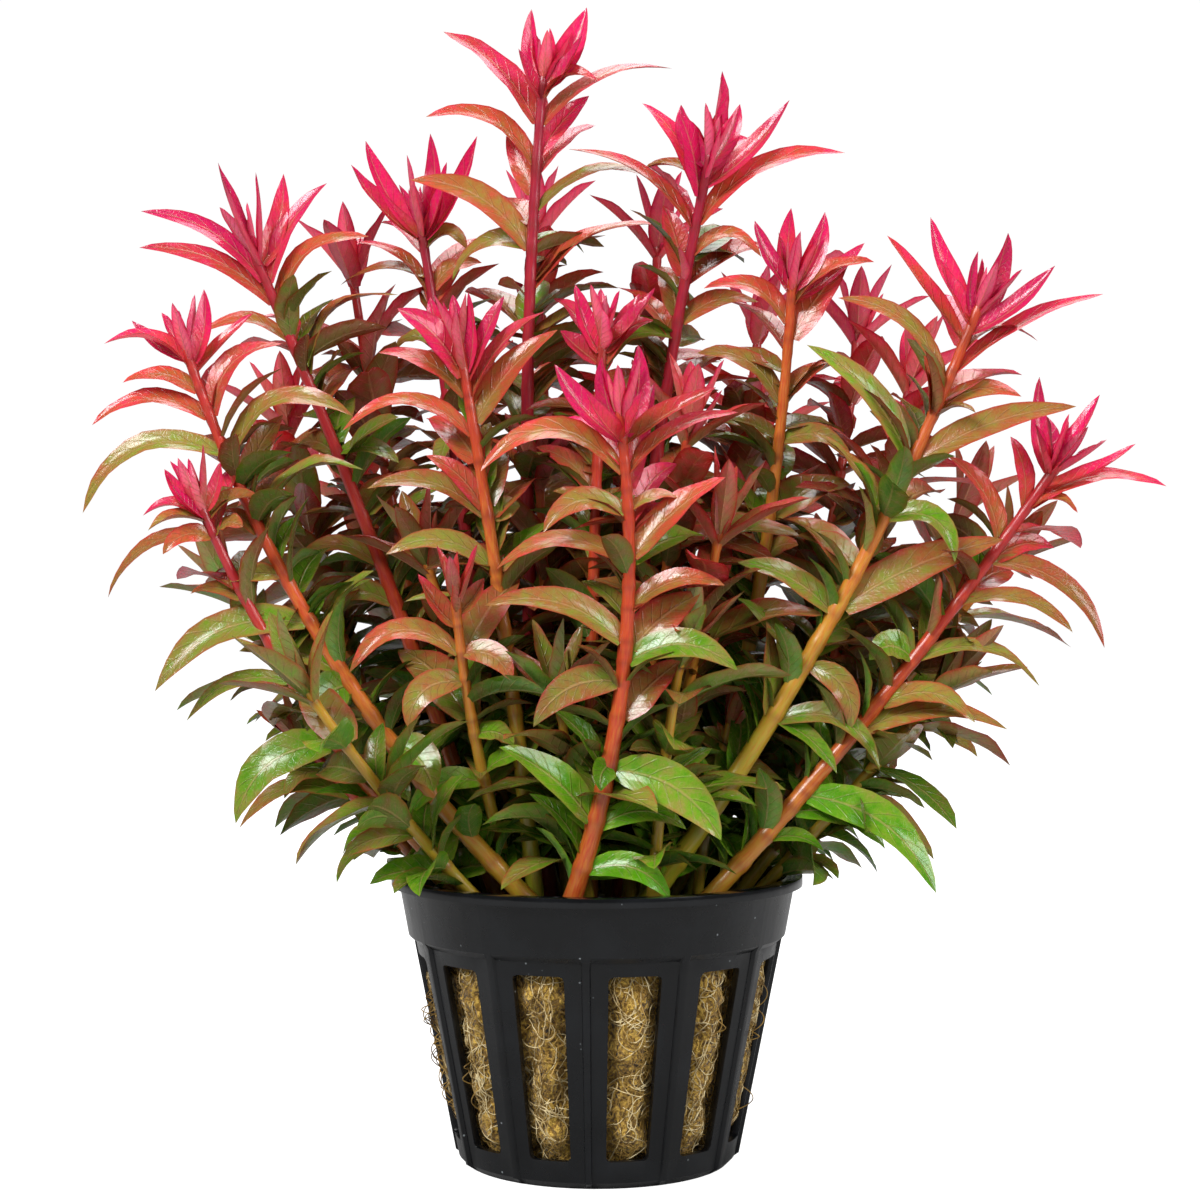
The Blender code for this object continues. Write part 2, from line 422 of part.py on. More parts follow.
def add_box(bm, centre, along, half_length, half_width, low, high):
    """Adds an upright box whose length lies in the level direction along."""
    across = Vector((-along.y, along.x, 0.0))
    corners = []
    for height in (low, high):
        for a, b in ((-1, -1), (1, -1), (1, 1), (-1, 1)):
            point = centre + along * a * half_length + across * b * half_width
            corners.append(bm.verts.new((point.x, point.y, height)))
    bottom, top = corners[:4], corners[4:]
    bm.faces.new(tuple(reversed(bottom)))
    bm.faces.new(top)
    for i in range(4):
        j = (i + 1) % 4
        bm.faces.new((bottom[i], bottom[j], top[j], top[i]))


def make_cutter(name, bm, finish):
    """A hidden helper that a Boolean cuts with."""
    mesh = bpy.data.meshes.new(name)
    bm.to_mesh(mesh)
    bm.free()
    cutter = add_object(name, mesh, finish)
    cutter.hide_render = True
    cutter.display_type = "WIRE"
    return cutter


def make_drain_cutter(finish):
    """The drain slots of the base, one in line with every other slot of the wall."""
    bm = bmesh.new()
    middle = (DRAIN_INNER_RADIUS + DRAIN_OUTER_RADIUS) / 2
    half_length = (DRAIN_OUTER_RADIUS - DRAIN_INNER_RADIUS) / 2
    for slot in range(0, SLOT_COUNT, 2):
        angle = FIRST_SLOT_ANGLE + slot * 2 * pi / SLOT_COUNT
        along = Vector((cos(angle), sin(angle), 0.0))
        add_box(bm, along * middle, along, half_length, DRAIN_WIDTH / 2, -MM, 2 * BASE_THICKNESS)
    return make_cutter("drain_cutter", bm, finish)


def stem_path(foot, crown, bow):
    """The stem's middle line above the wool, as the three points of a quadratic curve, in metres."""
    start = Vector((foot[0], foot[1], PLUG_TOP / MM)) * MM
    end = Vector(crown) * MM
    middle = (start + end) / 2 + Vector((bow[0], 0.0, bow[1])) * MM
    return start, middle, end


def curve_point(curve, t):
    """A point of a quadratic curve and its direction there."""
    a, b, c = curve
    point = a * (1 - t) ** 2 + b * 2 * t * (1 - t) + c * t * t
    direction = ((b - a) * (1 - t) + (c - b) * t).normalized()
    return point, direction


def root_direction(curve):
    """The way the stem's foot runs down into the wool, steeper than the stem above it."""
    _, direction = curve_point(curve, 0.0)
    return Vector((direction.x * ROOT_LEAN, direction.y * ROOT_LEAN, direction.z)).normalized()


def stem_frame(direction):
    """Two directions across the stem: one as near to +X as can be, and one square to it."""
    across = (Vector((1.0, 0.0, 0.0)) - direction * direction.x).normalized()
    return across, direction.cross(across)


def stem_point(curve, height):
    """The point, direction and share of the length where the stem is this high; straight on past its end."""
    end, direction = curve_point(curve, 1.0)
    if height >= end.z:
        return end + direction * (height - end.z) / direction.z, direction, 1.0
    low, high = 0.0, 1.0
    for _ in range(HEIGHT_HALVINGS):
        t = (low + high) / 2
        if curve_point(curve, t)[0].z < height:
            low = t
        else:
            high = t
    return *curve_point(curve, low), low


def stem_radius(girth, t):
    """The stem's radius at t along it."""
    return girth * MM + (TIP_RADIUS - girth * MM) * t


def pair_heights(curve, pairs):
    """The heights of the leaf pairs, closer together towards the crown."""
    reach = (curve[2].z - LOWEST_LEAF_HEIGHT) * HIGHEST_PAIR
    return [LOWEST_LEAF_HEIGHT + reach * (1 - (1 - i / pairs) ** PAIR_CROWDING) for i in range(pairs)]


def around(middle, spread, source):
    """A random number no further than the spread from the middle."""
    return source.uniform(middle - spread, middle + spread)


def leaf_shape(share, source):
    """Length, width, chord angle above square, arch and roll of a leaf at a share of the stem's height."""
    length = (LEAF_LENGTH + LEAF_LENGTH_GAIN * sin(pi * share)) * around(1, LEAF_LENGTH_SPREAD, source)
    width = length * (LEAF_WIDTH - LEAF_WIDTH_LOSS * share) * around(1, LEAF_WIDTH_SPREAD, source)
    rise = radians(around(LEAF_RISE + LEAF_RISE_GAIN * share ** 2, LEAF_RISE_SPREAD, source))
    arch = length * (LEAF_ARCH - LEAF_ARCH_LOSS * share)
    return length, width, rise, arch, radians(around(0, LEAF_ROLL_SPREAD, source))


def crown_shape(step, source):
    """The same for the upright leaves of the crown."""
    length = (CROWN_LEAF_LENGTH - CROWN_LEAF_LOSS * step) * around(1, CROWN_LENGTH_SPREAD, source)
    rise = radians(around(CROWN_LEAF_RISE + CROWN_RISE_GAIN * step, CROWN_RISE_SPREAD, source))
    roll = radians(around(0, CROWN_ROLL_SPREAD, source))
    return length, length * CROWN_LEAF_WIDTH, rise, length * CROWN_LEAF_ARCH, roll


def grown_leaf(curve, girth, height, angle, shape, yaw):
    """A leaf that grows by rule: its height, outward direction, line, face and width."""
    node, upward, t = stem_point(curve, height)
    across, along = stem_frame(upward)
    outward = across * cos(angle) + along * sin(angle)
    base = node + outward * stem_radius(girth, t) * LEAF_BASE_INSET
    length, width, rise, arch, roll = shape
    heading = (outward * cos(yaw) + upward.cross(outward) * sin(yaw)).normalized()
    chord = heading * cos(rise) + upward * sin(rise)
    normal = (upward - chord * chord.dot(upward)).normalized()
    middle = base + chord * length / 2 + normal * arch
    face = normal * cos(roll) + chord.cross(normal) * sin(roll)
    return height, outward, (base, middle, base + chord * length), face, width


def placed_leaf(curve, girth, reading):
    """A leaf of the front view, in the same form as a grown one."""
    height, x, y, z, width, turn, arch = reading
    node, upward, t = stem_point(curve, height * MM)
    offset = Vector((x, y, z)) * MM
    outward = (offset - upward * offset.dot(upward)).normalized()
    base = node + outward * stem_radius(girth, t) * LEAF_BASE_INSET
    tip = node + offset
    chord = (tip - base).normalized()
    inward = Vector((-INWARD_TURN * outward.x, -INWARD_TURN * outward.y, 1.0))
    lift = (inward - chord * inward.dot(chord)).normalized()
    front = chord.cross(lift)
    if front.y > 0:
        front = -front
    face = lift * cos(radians(turn)) + front * sin(radians(turn))
    if node.z > curve[2].z - CROWN_DEPTH and arch < LEAST_CROWN_ARCH:
        arch = INCURVED
    middle = (base + tip) / 2 + lift * (tip - base).length * arch
    fullness = CROWN_FULLNESS if height * MM > curve[2].z - 2 * CROWN_DEPTH else FULLNESS
    return height * MM, outward, (base, middle, tip), face, width * MM * fullness


def leaf_plan(name):
    """Every leaf of a cutting with its rank for keeping, 0 for placed and crown leaves, 1 for the others."""
    foot, crown, bow, girth, pairs, turn = STEMS[name]
    curve = stem_path(foot, crown, bow)
    source = random.Random(name)
    plan = [(0, placed_leaf(curve, girth, reading)) for reading in PLACED.get(name, ())]
    if plan:
        height = LOWEST_LEAF_HEIGHT
        swing = BACK_LEAF_SWING
        while height < curve[2].z:
            share = (height - LOWEST_LEAF_HEIGHT) / (curve[2].z - LOWEST_LEAF_HEIGHT)
            angle = radians(around(90 + swing, BACK_LEAF_SPREAD, source))
            plan.append((1, grown_leaf(curve, girth, height, angle, leaf_shape(share, source), 0.0)))
            height += BACK_LEAF_STEP * (BACK_LEAF_STRETCH - BACK_LEAF_CROWDING * share)
            swing = -swing
        return curve, plan
    heights = pair_heights(curve, pairs)
    for ring in range(pairs + CROWN_PAIRS):
        step = ring - pairs
        height = heights[ring] if step < 0 else curve[2].z + CROWN_STEP * step
        for half in (0, 180):
            angle = radians(turn + 90 * (ring % 2) + half)
            shape = leaf_shape(ring / pairs, source) if step < 0 else crown_shape(step, source)
            yaw = radians(around(0, LEAF_YAW_SPREAD, source))
            plan.append((int(step < 0), grown_leaf(curve, girth, height, angle, shape, yaw)))
    return curve, plan


def leaf_section(line, face, t, width):
    """The two margins and the keel of a leaf at t along its line."""
    point, direction = curve_point(line, t)
    side = face.cross(direction).normalized() * width / 2
    down = side.cross(direction).normalized() * width * KEEL_SHARE
    return point + side, point - side, point + down


def add_face(bm, *corners):
    """Adds a face as triangles that share its first corner."""
    for second, third in zip(corners[1:], corners[2:]):
        bm.faces.new((corners[0], second, third))


def leaf_band(roots, section):
    """The triangles between a leaf's three roots and its widest section, the way round that holds most."""
    best, most = None, None
    for shift, splits in product(range(3), product((False, True), repeat=3)):
        turned = [section[(i + shift) % 3] for i in range(3)]
        band = []
        for i, split in enumerate(splits):
            j = (i + 1) % 3
            if split:
                band += [(roots[i], roots[j], turned[j]), (roots[i], turned[j], turned[i])]
            else:
                band += [(roots[i], roots[j], turned[i]), (roots[j], turned[j], turned[i])]
        origin = roots[0].co
        held = sum((a.co - origin).dot((b.co - origin).cross(c.co - origin)) for a, b, c in band)
        if best is None or held > most:
            best, most = band, held
    return best


def grow_leaf(bm, roots, line, face, width):
    """Grows a leaf out of three vertices of the stem: left root, right root and the one below them."""
    section = [bm.verts.new(p) for p in leaf_section(line, face, LEAF_MIDDLE, width)]
    tip = bm.verts.new(line[2])
    for corners in leaf_band(roots, section):
        bm.faces.new(corners)
    for i in range(3):
        bm.faces.new((section[i], section[(i + 1) % 3], tip))


def seat_height(leaf):
    """The height that decides a leaf's place among its neighbours: the more upright, the higher."""
    height, _, line, _, _ = leaf
    return height + UPRIGHT_LIFT * (line[2] - line[0]).normalized().z


def seat_leaves(curve, turn, leaves):
    """Shares the leaves out over the stem's four sides, as a list of (height, leaf by side), lowest first."""
    seats = []
    for leaf in sorted(leaves, key=seat_height):
        height, outward = leaf[0], leaf[1]
        across, along = stem_frame(stem_point(curve, height)[1])
        side = round((atan2(outward.dot(along), outward.dot(across)) - radians(turn)) / (pi / 2)) % STEM_SIDES
        if seats and height - seats[-1][0] < SAME_NODE and side not in seats[-1][1]:
            seats[-1][1][side] = leaf
            continue
        if seats:
            height = max(height, seats[-1][0] + NODE_STEP)
        while seats and height - seats[-1][0] > LONGEST_BARE_STEM:
            seats.append((seats[-1][0] + LONGEST_BARE_STEM * BARE_STEM_SHARE, {}))
        seats.append((height, {side: leaf}))
    return seats


def stem_rings(name, curve, leaves):
    """The rings of a stem as (middle, direction, radius, leaf by side), from its rooted foot to its crown."""
    girth, turn = STEMS[name][3], STEMS[name][5]
    start, down = curve[0], root_direction(curve)
    rings = [(start + down * rise, down, girth * MM, {}) for rise in (-ROOT_DEPTH, COLLET_RISE)]
    for height, sides in seat_leaves(curve, turn, leaves):
        point, direction, t = stem_point(curve, height)
        rings.append((point, direction, stem_radius(girth, t), sides))
    return rings


def square_ring(middle, direction, radius, turn):
    """The four corners of a stem's section."""
    across, along = stem_frame(direction)
    angles = [turn + (2 * corner - 1) * pi / STEM_SIDES for corner in range(STEM_SIDES)]
    return [middle + (across * cos(angle) + along * sin(angle)) * radius for angle in angles]


def make_stem(name, finish, curve, leaves):
    """One cutting: a four-sided stem with its leaves grown out of its sides."""
    turn = radians(STEMS[name][5])
    rings = stem_rings(name, curve, leaves)
    bm = bmesh.new()
    loops = []
    for point, direction, radius, _ in rings:
        loops.append([bm.verts.new(corner) for corner in square_ring(point, direction, radius, turn)])
    add_face(bm, *reversed(loops[0]))
    for index in range(1, len(loops)):
        low, high = loops[index - 1], loops[index]
        _, direction, _, leaves_here = rings[index]
        for side in range(STEM_SIDES):
            following = (side + 1) % STEM_SIDES
            if side not in leaves_here:
                add_face(bm, low[side], low[following], high[following], high[side])
                continue
            middle = (high[side].co + high[following].co) / 2
            below = bm.verts.new(middle - direction * LEAF_BASE_RISE)
            add_face(bm, low[side], low[following], below)
            add_face(bm, low[following], high[following], below)
            add_face(bm, high[side], low[side], below)
            _, _, line, face, width = leaves_here[side]
            grow_leaf(bm, (high[following], high[side], below), line, face, width)
    point, direction, _, _ = rings[-1]
    bud = bm.verts.new(point + direction * BUD_LENGTH)
    for side in range(STEM_SIDES):
        add_face(bm, loops[-1][side], loops[-1][(side + 1) % STEM_SIDES], bud)
    mesh = bpy.data.meshes.new(name)
    bm.to_mesh(mesh)
    bm.free()
    return add_object(name, mesh, finish)


def leaf_tree(line, face, width):
    """A search tree of the leaf's surface clear of its own stem, a little thicker than the leaf."""
    points = []
    for t, share in ((LEAF_NECK, LEAF_NECK_WIDTH), (LEAF_MIDDLE, 1.0)):
        left, right, keel = leaf_section(line, face, t, width * share + 2 * CLEARANCE)
        lift = face.normalized() * CLEARANCE
        points += [left + lift, right + lift, keel - lift]
    points.append(line[2] + (line[2] - line[1]).normalized() * CLEARANCE)
    triangles = [(0, 1, 2)]
    for i in range(3):
        j = (i + 1) % 3
        triangles += [(i, j, 3 + j), (i, 3 + j, 3 + i), (3 + i, 3 + j, 6)]
    return points, BVHTree.FromPolygons(points, triangles)


def tube_tree(curve, girth):
    """A search tree of a stem's tube, a little thicker than the stem."""
    points = []
    for station in range(TUBE_STATIONS + 1):
        t = station / TUBE_STATIONS
        point, direction = curve_point(curve, t)
        if station == 0:
            point = point - direction * ROOT_DEPTH
        if station == TUBE_STATIONS:
            point = point + direction * CROWN_STEP
        across, along = stem_frame(direction)
        reach = (stem_radius(girth, t) + CLEARANCE) * TUBE_MARGIN
        for corner in range(TUBE_SIDES):
            angle = corner * 2 * pi / TUBE_SIDES
            points.append(point + (across * cos(angle) + along * sin(angle)) * reach)
    faces = []
    for ring in range(TUBE_STATIONS):
        low, high = ring * TUBE_SIDES, (ring + 1) * TUBE_SIDES
        for side in range(TUBE_SIDES):
            following = (side + 1) % TUBE_SIDES
            faces.append((low + side, low + following, high + following, high + side))
    return BVHTree.FromPolygons(points, faces)


def box_of(points):
    """The lowest and highest corner of some points."""
    return [min(p[k] for p in points) for k in range(3)], [max(p[k] for p in points) for k in range(3)]


def boxes_meet(a, b):
    """Whether two boxes share space."""
    return all(a[0][k] <= b[1][k] and b[0][k] <= a[1][k] for k in range(3))


def choose_leaves():
    """Each stem's curve and the leaves that its solid keeps: clear of all else, the outermost first."""
    plans = {name: leaf_plan(name) for name in STEMS}
    tubes = [tube_tree(plans[name][0], STEMS[name][3]) for name in STEMS]
    candidates = []
    for name, (_, plan) in plans.items():
        for number, (rank, leaf) in enumerate(plan):
            tip = leaf[2][2]
            reach = tip.xy.length + 0.5 * tip.z
            candidates.append((rank, -reach, name, number, leaf))
    candidates.sort(key=lambda entry: entry[:4])
    taken = []
    kept = {name: [] for name in STEMS}
    for _, _, name, _, leaf in candidates:
        _, _, line, face, width = leaf
        if min(line[1].z, line[2].z) < POT_HEIGHT + MM and line[2].xy.length > POT_CORE_RADIUS:
            continue
        points, tree = leaf_tree(line, face, width)
        box = box_of(points)
        if len(taken) >= MOST_LEAVES or any(tree.overlap(tube) for tube in tubes):
            continue
        if any(boxes_meet(box, other_box) and tree.overlap(other) for other_box, other in taken):
            continue
        taken.append((box, tree))
        kept[name].append(leaf)
    return {name: (plans[name][0], kept[name]) for name in STEMS}


def make_plug(finish):
    """The rock-wool plug: a lumpy block that fills the pot, with a hole for the foot of each stem."""
    source = random.Random(7)
    bm = bmesh.new()
    loops = []
    for ring in range(PLUG_RINGS):
        height = PLUG_BOTTOM + (PLUG_TOP - PLUG_BOTTOM) * ring / (PLUG_RINGS - 1)
        radius = min(wall_radius(height), WALL_TOP_RADIUS) - WALL - PLUG_GAP
        loop = []
        for column in range(PLUG_COLUMNS):
            lump = source.uniform(0.0, PLUG_LUMP)
            loop.append(bm.verts.new(on_circle(radius - lump, column * 2 * pi / PLUG_COLUMNS, height)))
        loops.append(loop)
    for low, high in zip(loops, loops[1:]):
        for i in range(PLUG_COLUMNS):
            j = (i + 1) % PLUG_COLUMNS
            bm.faces.new((low[i], low[j], high[j], high[i]))
    bm.faces.new(tuple(reversed(loops[0])))
    bm.faces.new(loops[-1])
    bmesh.ops.triangulate(bm, faces=[face for face in bm.faces if len(face.verts) == 4])
    mesh = bpy.data.meshes.new("rockwool_plug")
    bm.to_mesh(mesh)
    bm.free()
    plug = add_object("rockwool_plug", mesh, finish)
    cut = plug.modifiers.new("stem holes", "BOOLEAN")
    cut.operation = "DIFFERENCE"
    cut.solver = "EXACT"
    cut.object = make_hole_cutter(finish)
    return plug


def make_hole_cutter(finish):
    """The holes of the plug: each is its stem's foot with a gap all round."""
    bm = bmesh.new()
    for foot, crown, bow, girth, _, turn in STEMS.values():
        curve = stem_path(foot, crown, bow)
        down = root_direction(curve)
        radius = girth * MM + SOCKET_GAP * 2 ** 0.5
        loops = []
        for distance in (-ROOT_DEPTH - SOCKET_GAP, COLLET_RISE):
            corners = square_ring(curve[0] + down * distance, down, radius, radians(turn))
            loops.append([bm.verts.new(corner) for corner in corners])
        bm.faces.new(tuple(reversed(loops[0])))
        bm.faces.new(loops[1])
        for i in range(STEM_SIDES):
            j = (i + 1) % STEM_SIDES
            bm.faces.new((loops[0][i], loops[0][j], loops[1][j], loops[1][i]))
    return make_cutter("hole_cutter", bm, finish)


def main():
    """Clears the scene and models the pot, the plug and every stem."""
    for obj in list(bpy.data.objects):
        bpy.data.objects.remove(obj, do_unlink=True)
    make_pot(material("moulded black plastic", POT_COLOUR, 0.4))
    make_plug(material("rock wool", PLUG_COLOUR, 0.95))
    stem_finish = material("rotala stem and leaf", STEM_COLOUR, 0.5)
    for name, (curve, leaves) in choose_leaves().items():
        make_stem(name, stem_finish, curve, leaves)


if __name__ == "__main__":
    main()
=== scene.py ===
"""Rotala in a black net pot: the looks of the plant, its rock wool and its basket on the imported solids."""

from __future__ import annotations

import logging
import math
import random
from dataclasses import dataclass, field
from enum import Enum
from typing import Any, Iterator

import bmesh
import bpy
import numpy as np
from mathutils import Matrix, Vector, noise


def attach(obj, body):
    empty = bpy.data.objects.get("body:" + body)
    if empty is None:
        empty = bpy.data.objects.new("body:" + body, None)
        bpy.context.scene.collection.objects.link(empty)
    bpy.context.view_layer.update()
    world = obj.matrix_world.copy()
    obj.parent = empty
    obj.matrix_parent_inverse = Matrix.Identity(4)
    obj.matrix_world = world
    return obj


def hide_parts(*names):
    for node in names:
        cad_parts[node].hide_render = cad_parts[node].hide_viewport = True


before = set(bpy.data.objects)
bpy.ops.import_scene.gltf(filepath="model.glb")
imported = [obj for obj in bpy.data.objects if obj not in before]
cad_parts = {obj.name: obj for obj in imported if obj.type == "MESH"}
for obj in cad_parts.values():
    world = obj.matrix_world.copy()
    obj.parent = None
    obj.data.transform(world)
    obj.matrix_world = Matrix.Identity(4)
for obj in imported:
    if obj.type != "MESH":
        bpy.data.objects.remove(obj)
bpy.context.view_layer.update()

LOG = logging.getLogger("rotala")
MM = 0.001

# Each cutting in millimetres: its foot on the wool (x, y), the base of its crown (x, y, z), how far its
# middle bows off the straight line (x, z), its radius at the foot, its leaf pairs and the compass angle
# of the lowest pair in degrees. The first twenty-six are the ones that the front view tells apart.
STEMS: dict[str, tuple[Any, ...]] = {
    "stem_01": ((-5.0, -16.8), (-53.3, -8.0, 106.1), (-9.0, -5.9), 1.35, 10, 0),
    "stem_02": ((-12.4, -3.6), (-46.4, 4.0, 121.2), (2.3, 0.9), 1.30, 9, 90),
    "stem_03": ((-12.6, -10.6), (-50.5, -14.0, 86.0), (-5.9, -4.1), 1.25, 8, 0),
    "stem_04": ((-17.3, 3.2), (-39.4, 2.0, 55.1), (-1.5, 0.8), 1.00, 3, 0),
    "stem_05": ((-6.4, 4.1), (-7.4, 2.0, 143.9), (-5.1, 0.2), 1.35, 10, 0),
    "stem_06": ((3.2, 8.5), (14.8, -2.0, 132.7), (-4.6, 0.8), 1.35, 9, 90),
    "stem_07": ((-12.1, 8.9), (-24.2, 10.0, 125.2), (1.2, 0.3), 1.20, 8, 0),
    "stem_08": ((-7.6, -12.6), (-17.6, -12.0, 106.7), (1.5, 0.2), 1.25, 10, 90),
    "stem_09": ((-4.6, -20.2), (3.0, -24.0, 96.4), (7.8, -1.4), 1.35, 10, 0),
    "stem_10": ((-0.8, -5.1), (0.7, -4.0, 108.5), (-1.1, 0.0), 1.10, 7, 90),
    "stem_11": ((12.3, 0.3), (25.9, -3.0, 115.9), (4.4, -0.7), 1.25, 9, 0),
    "stem_12": ((4.4, -11.8), (48.4, -14.0, 110.9), (5.3, -3.2), 1.50, 10, 0),
    "stem_13": ((10.8, -15.6), (59.1, -9.0, 91.0), (2.2, -1.8), 1.30, 9, 0),
    "stem_14": ((19.0, 4.6), (42.5, 6.0, 102.7), (4.1, -0.5), 1.15, 7, 90),
    "stem_15": ((-14.6, 12.0), (-34.1, 15.0, 118.4), (-3.2, -0.7), 1.10, 6, 90),
    "stem_16": ((2.1, 14.8), (8.5, 18.0, 123.2), (1.1, 0.2), 1.10, 6, 0),
    "stem_17": ((-17.0, 9.6), (-44.1, 22.0, 98.2), (-6.7, -2.5), 1.10, 6, 0),
    "stem_18": ((-9.6, -6.6), (-17.7, -20.0, 73.7), (-2.4, -0.4), 1.00, 5, 0),
    "stem_19": ((5.8, -6.6), (15.5, -13.0, 81.8), (0.1, 0.0), 1.00, 5, 90),
    "stem_20": ((13.0, -6.8), (17.0, -7.6, 57.0), (-1.3, 0.2), 0.80, 3, 0),
    "stem_21": ((16.6, 11.6), (37.1, 22.0, 111.3), (6.5, -1.3), 1.10, 6, 0),
    "stem_22": ((8.9, 16.3), (23.2, 26.0, 111.7), (2.0, -0.4), 1.10, 6, 90),
    "stem_23": ((4.0, -1.8), (11.7, -7.0, 94.9), (-1.3, 0.2), 1.00, 6, 0),
    "stem_24": ((-3.7, 0.0), (-7.7, 2.0, 89.3), (-0.9, 0.0), 1.00, 5, 45),
    "stem_25": ((17.4, 0.0), (53.7, 4.0, 78.2), (-0.6, 0.5), 1.00, 5, 0),
    "stem_26": ((6.9, -16.8), (10.4, -17.5, 66.0), (-1.0, 0.1), 0.90, 4, 90),
    "stem_27": ((-6.0, 17.6), (-20.0, 40.0, 106.0), (-2.0, -3.0), 1.15, 7, 0),
    "stem_28": ((1.5, 19.4), (1.0, 46.0, 110.0), (0.5, -4.0), 1.15, 7, 0),
    "stem_29": ((13.0, 16.2), (25.0, 43.0, 98.0), (2.0, -3.0), 1.15, 7, 90),
    "stem_30": ((-10.6, 16.6), (-36.0, 38.0, 88.0), (-4.0, 0.0), 1.10, 6, 0),
    "stem_31": ((17.6, 8.2), (52.0, 26.0, 86.0), (2.0, 1.0), 1.10, 6, 90),
    "stem_32": ((-2.2, 11.6), (-9.0, 29.0, 127.0), (-1.0, 0.0), 1.15, 7, 90),
    "stem_33": ((-8.0, 13.2), (-26.0, 29.0, 76.0), (-1.0, -1.0), 1.00, 4, 0),
    "stem_34": ((5.6, 11.6), (14.0, 34.0, 82.0), (1.0, -1.0), 1.00, 4, 45),
    "stem_35": ((9.2, 7.4), (35.0, 12.5, 72.0), (1.0, -1.0), 1.00, 4, 0),
    "stem_36": ((-17.8, 6.4), (-50.0, 14.0, 74.0), (-3.0, -1.0), 1.00, 5, 90),
    "stem_37": ((5.2, 19.0), (9.0, 50.0, 72.0), (0.0, 4.0), 1.00, 4, 0),
    "stem_38": ((-0.6, -12.8), (-4.5, -17.0, 60.0), (0.0, 0.0), 0.85, 3, 45),
    "stem_39": ((-12.0, -15.4), (-35.0, -24.0, 62.0), (-2.0, 0.0), 0.95, 3, 90),
    "stem_40": ((18.4, -4.4), (44.0, -8.0, 62.0), (1.0, 0.0), 0.95, 4, 90),
    "stem_41": ((-7.4, 0.4), (-22.0, -4.0, 78.0), (0.0, 0.0), 0.95, 4, 0),
    "stem_42": ((8.6, 2.6), (22.0, 8.0, 84.0), (1.0, 0.0), 0.95, 4, 90),
}

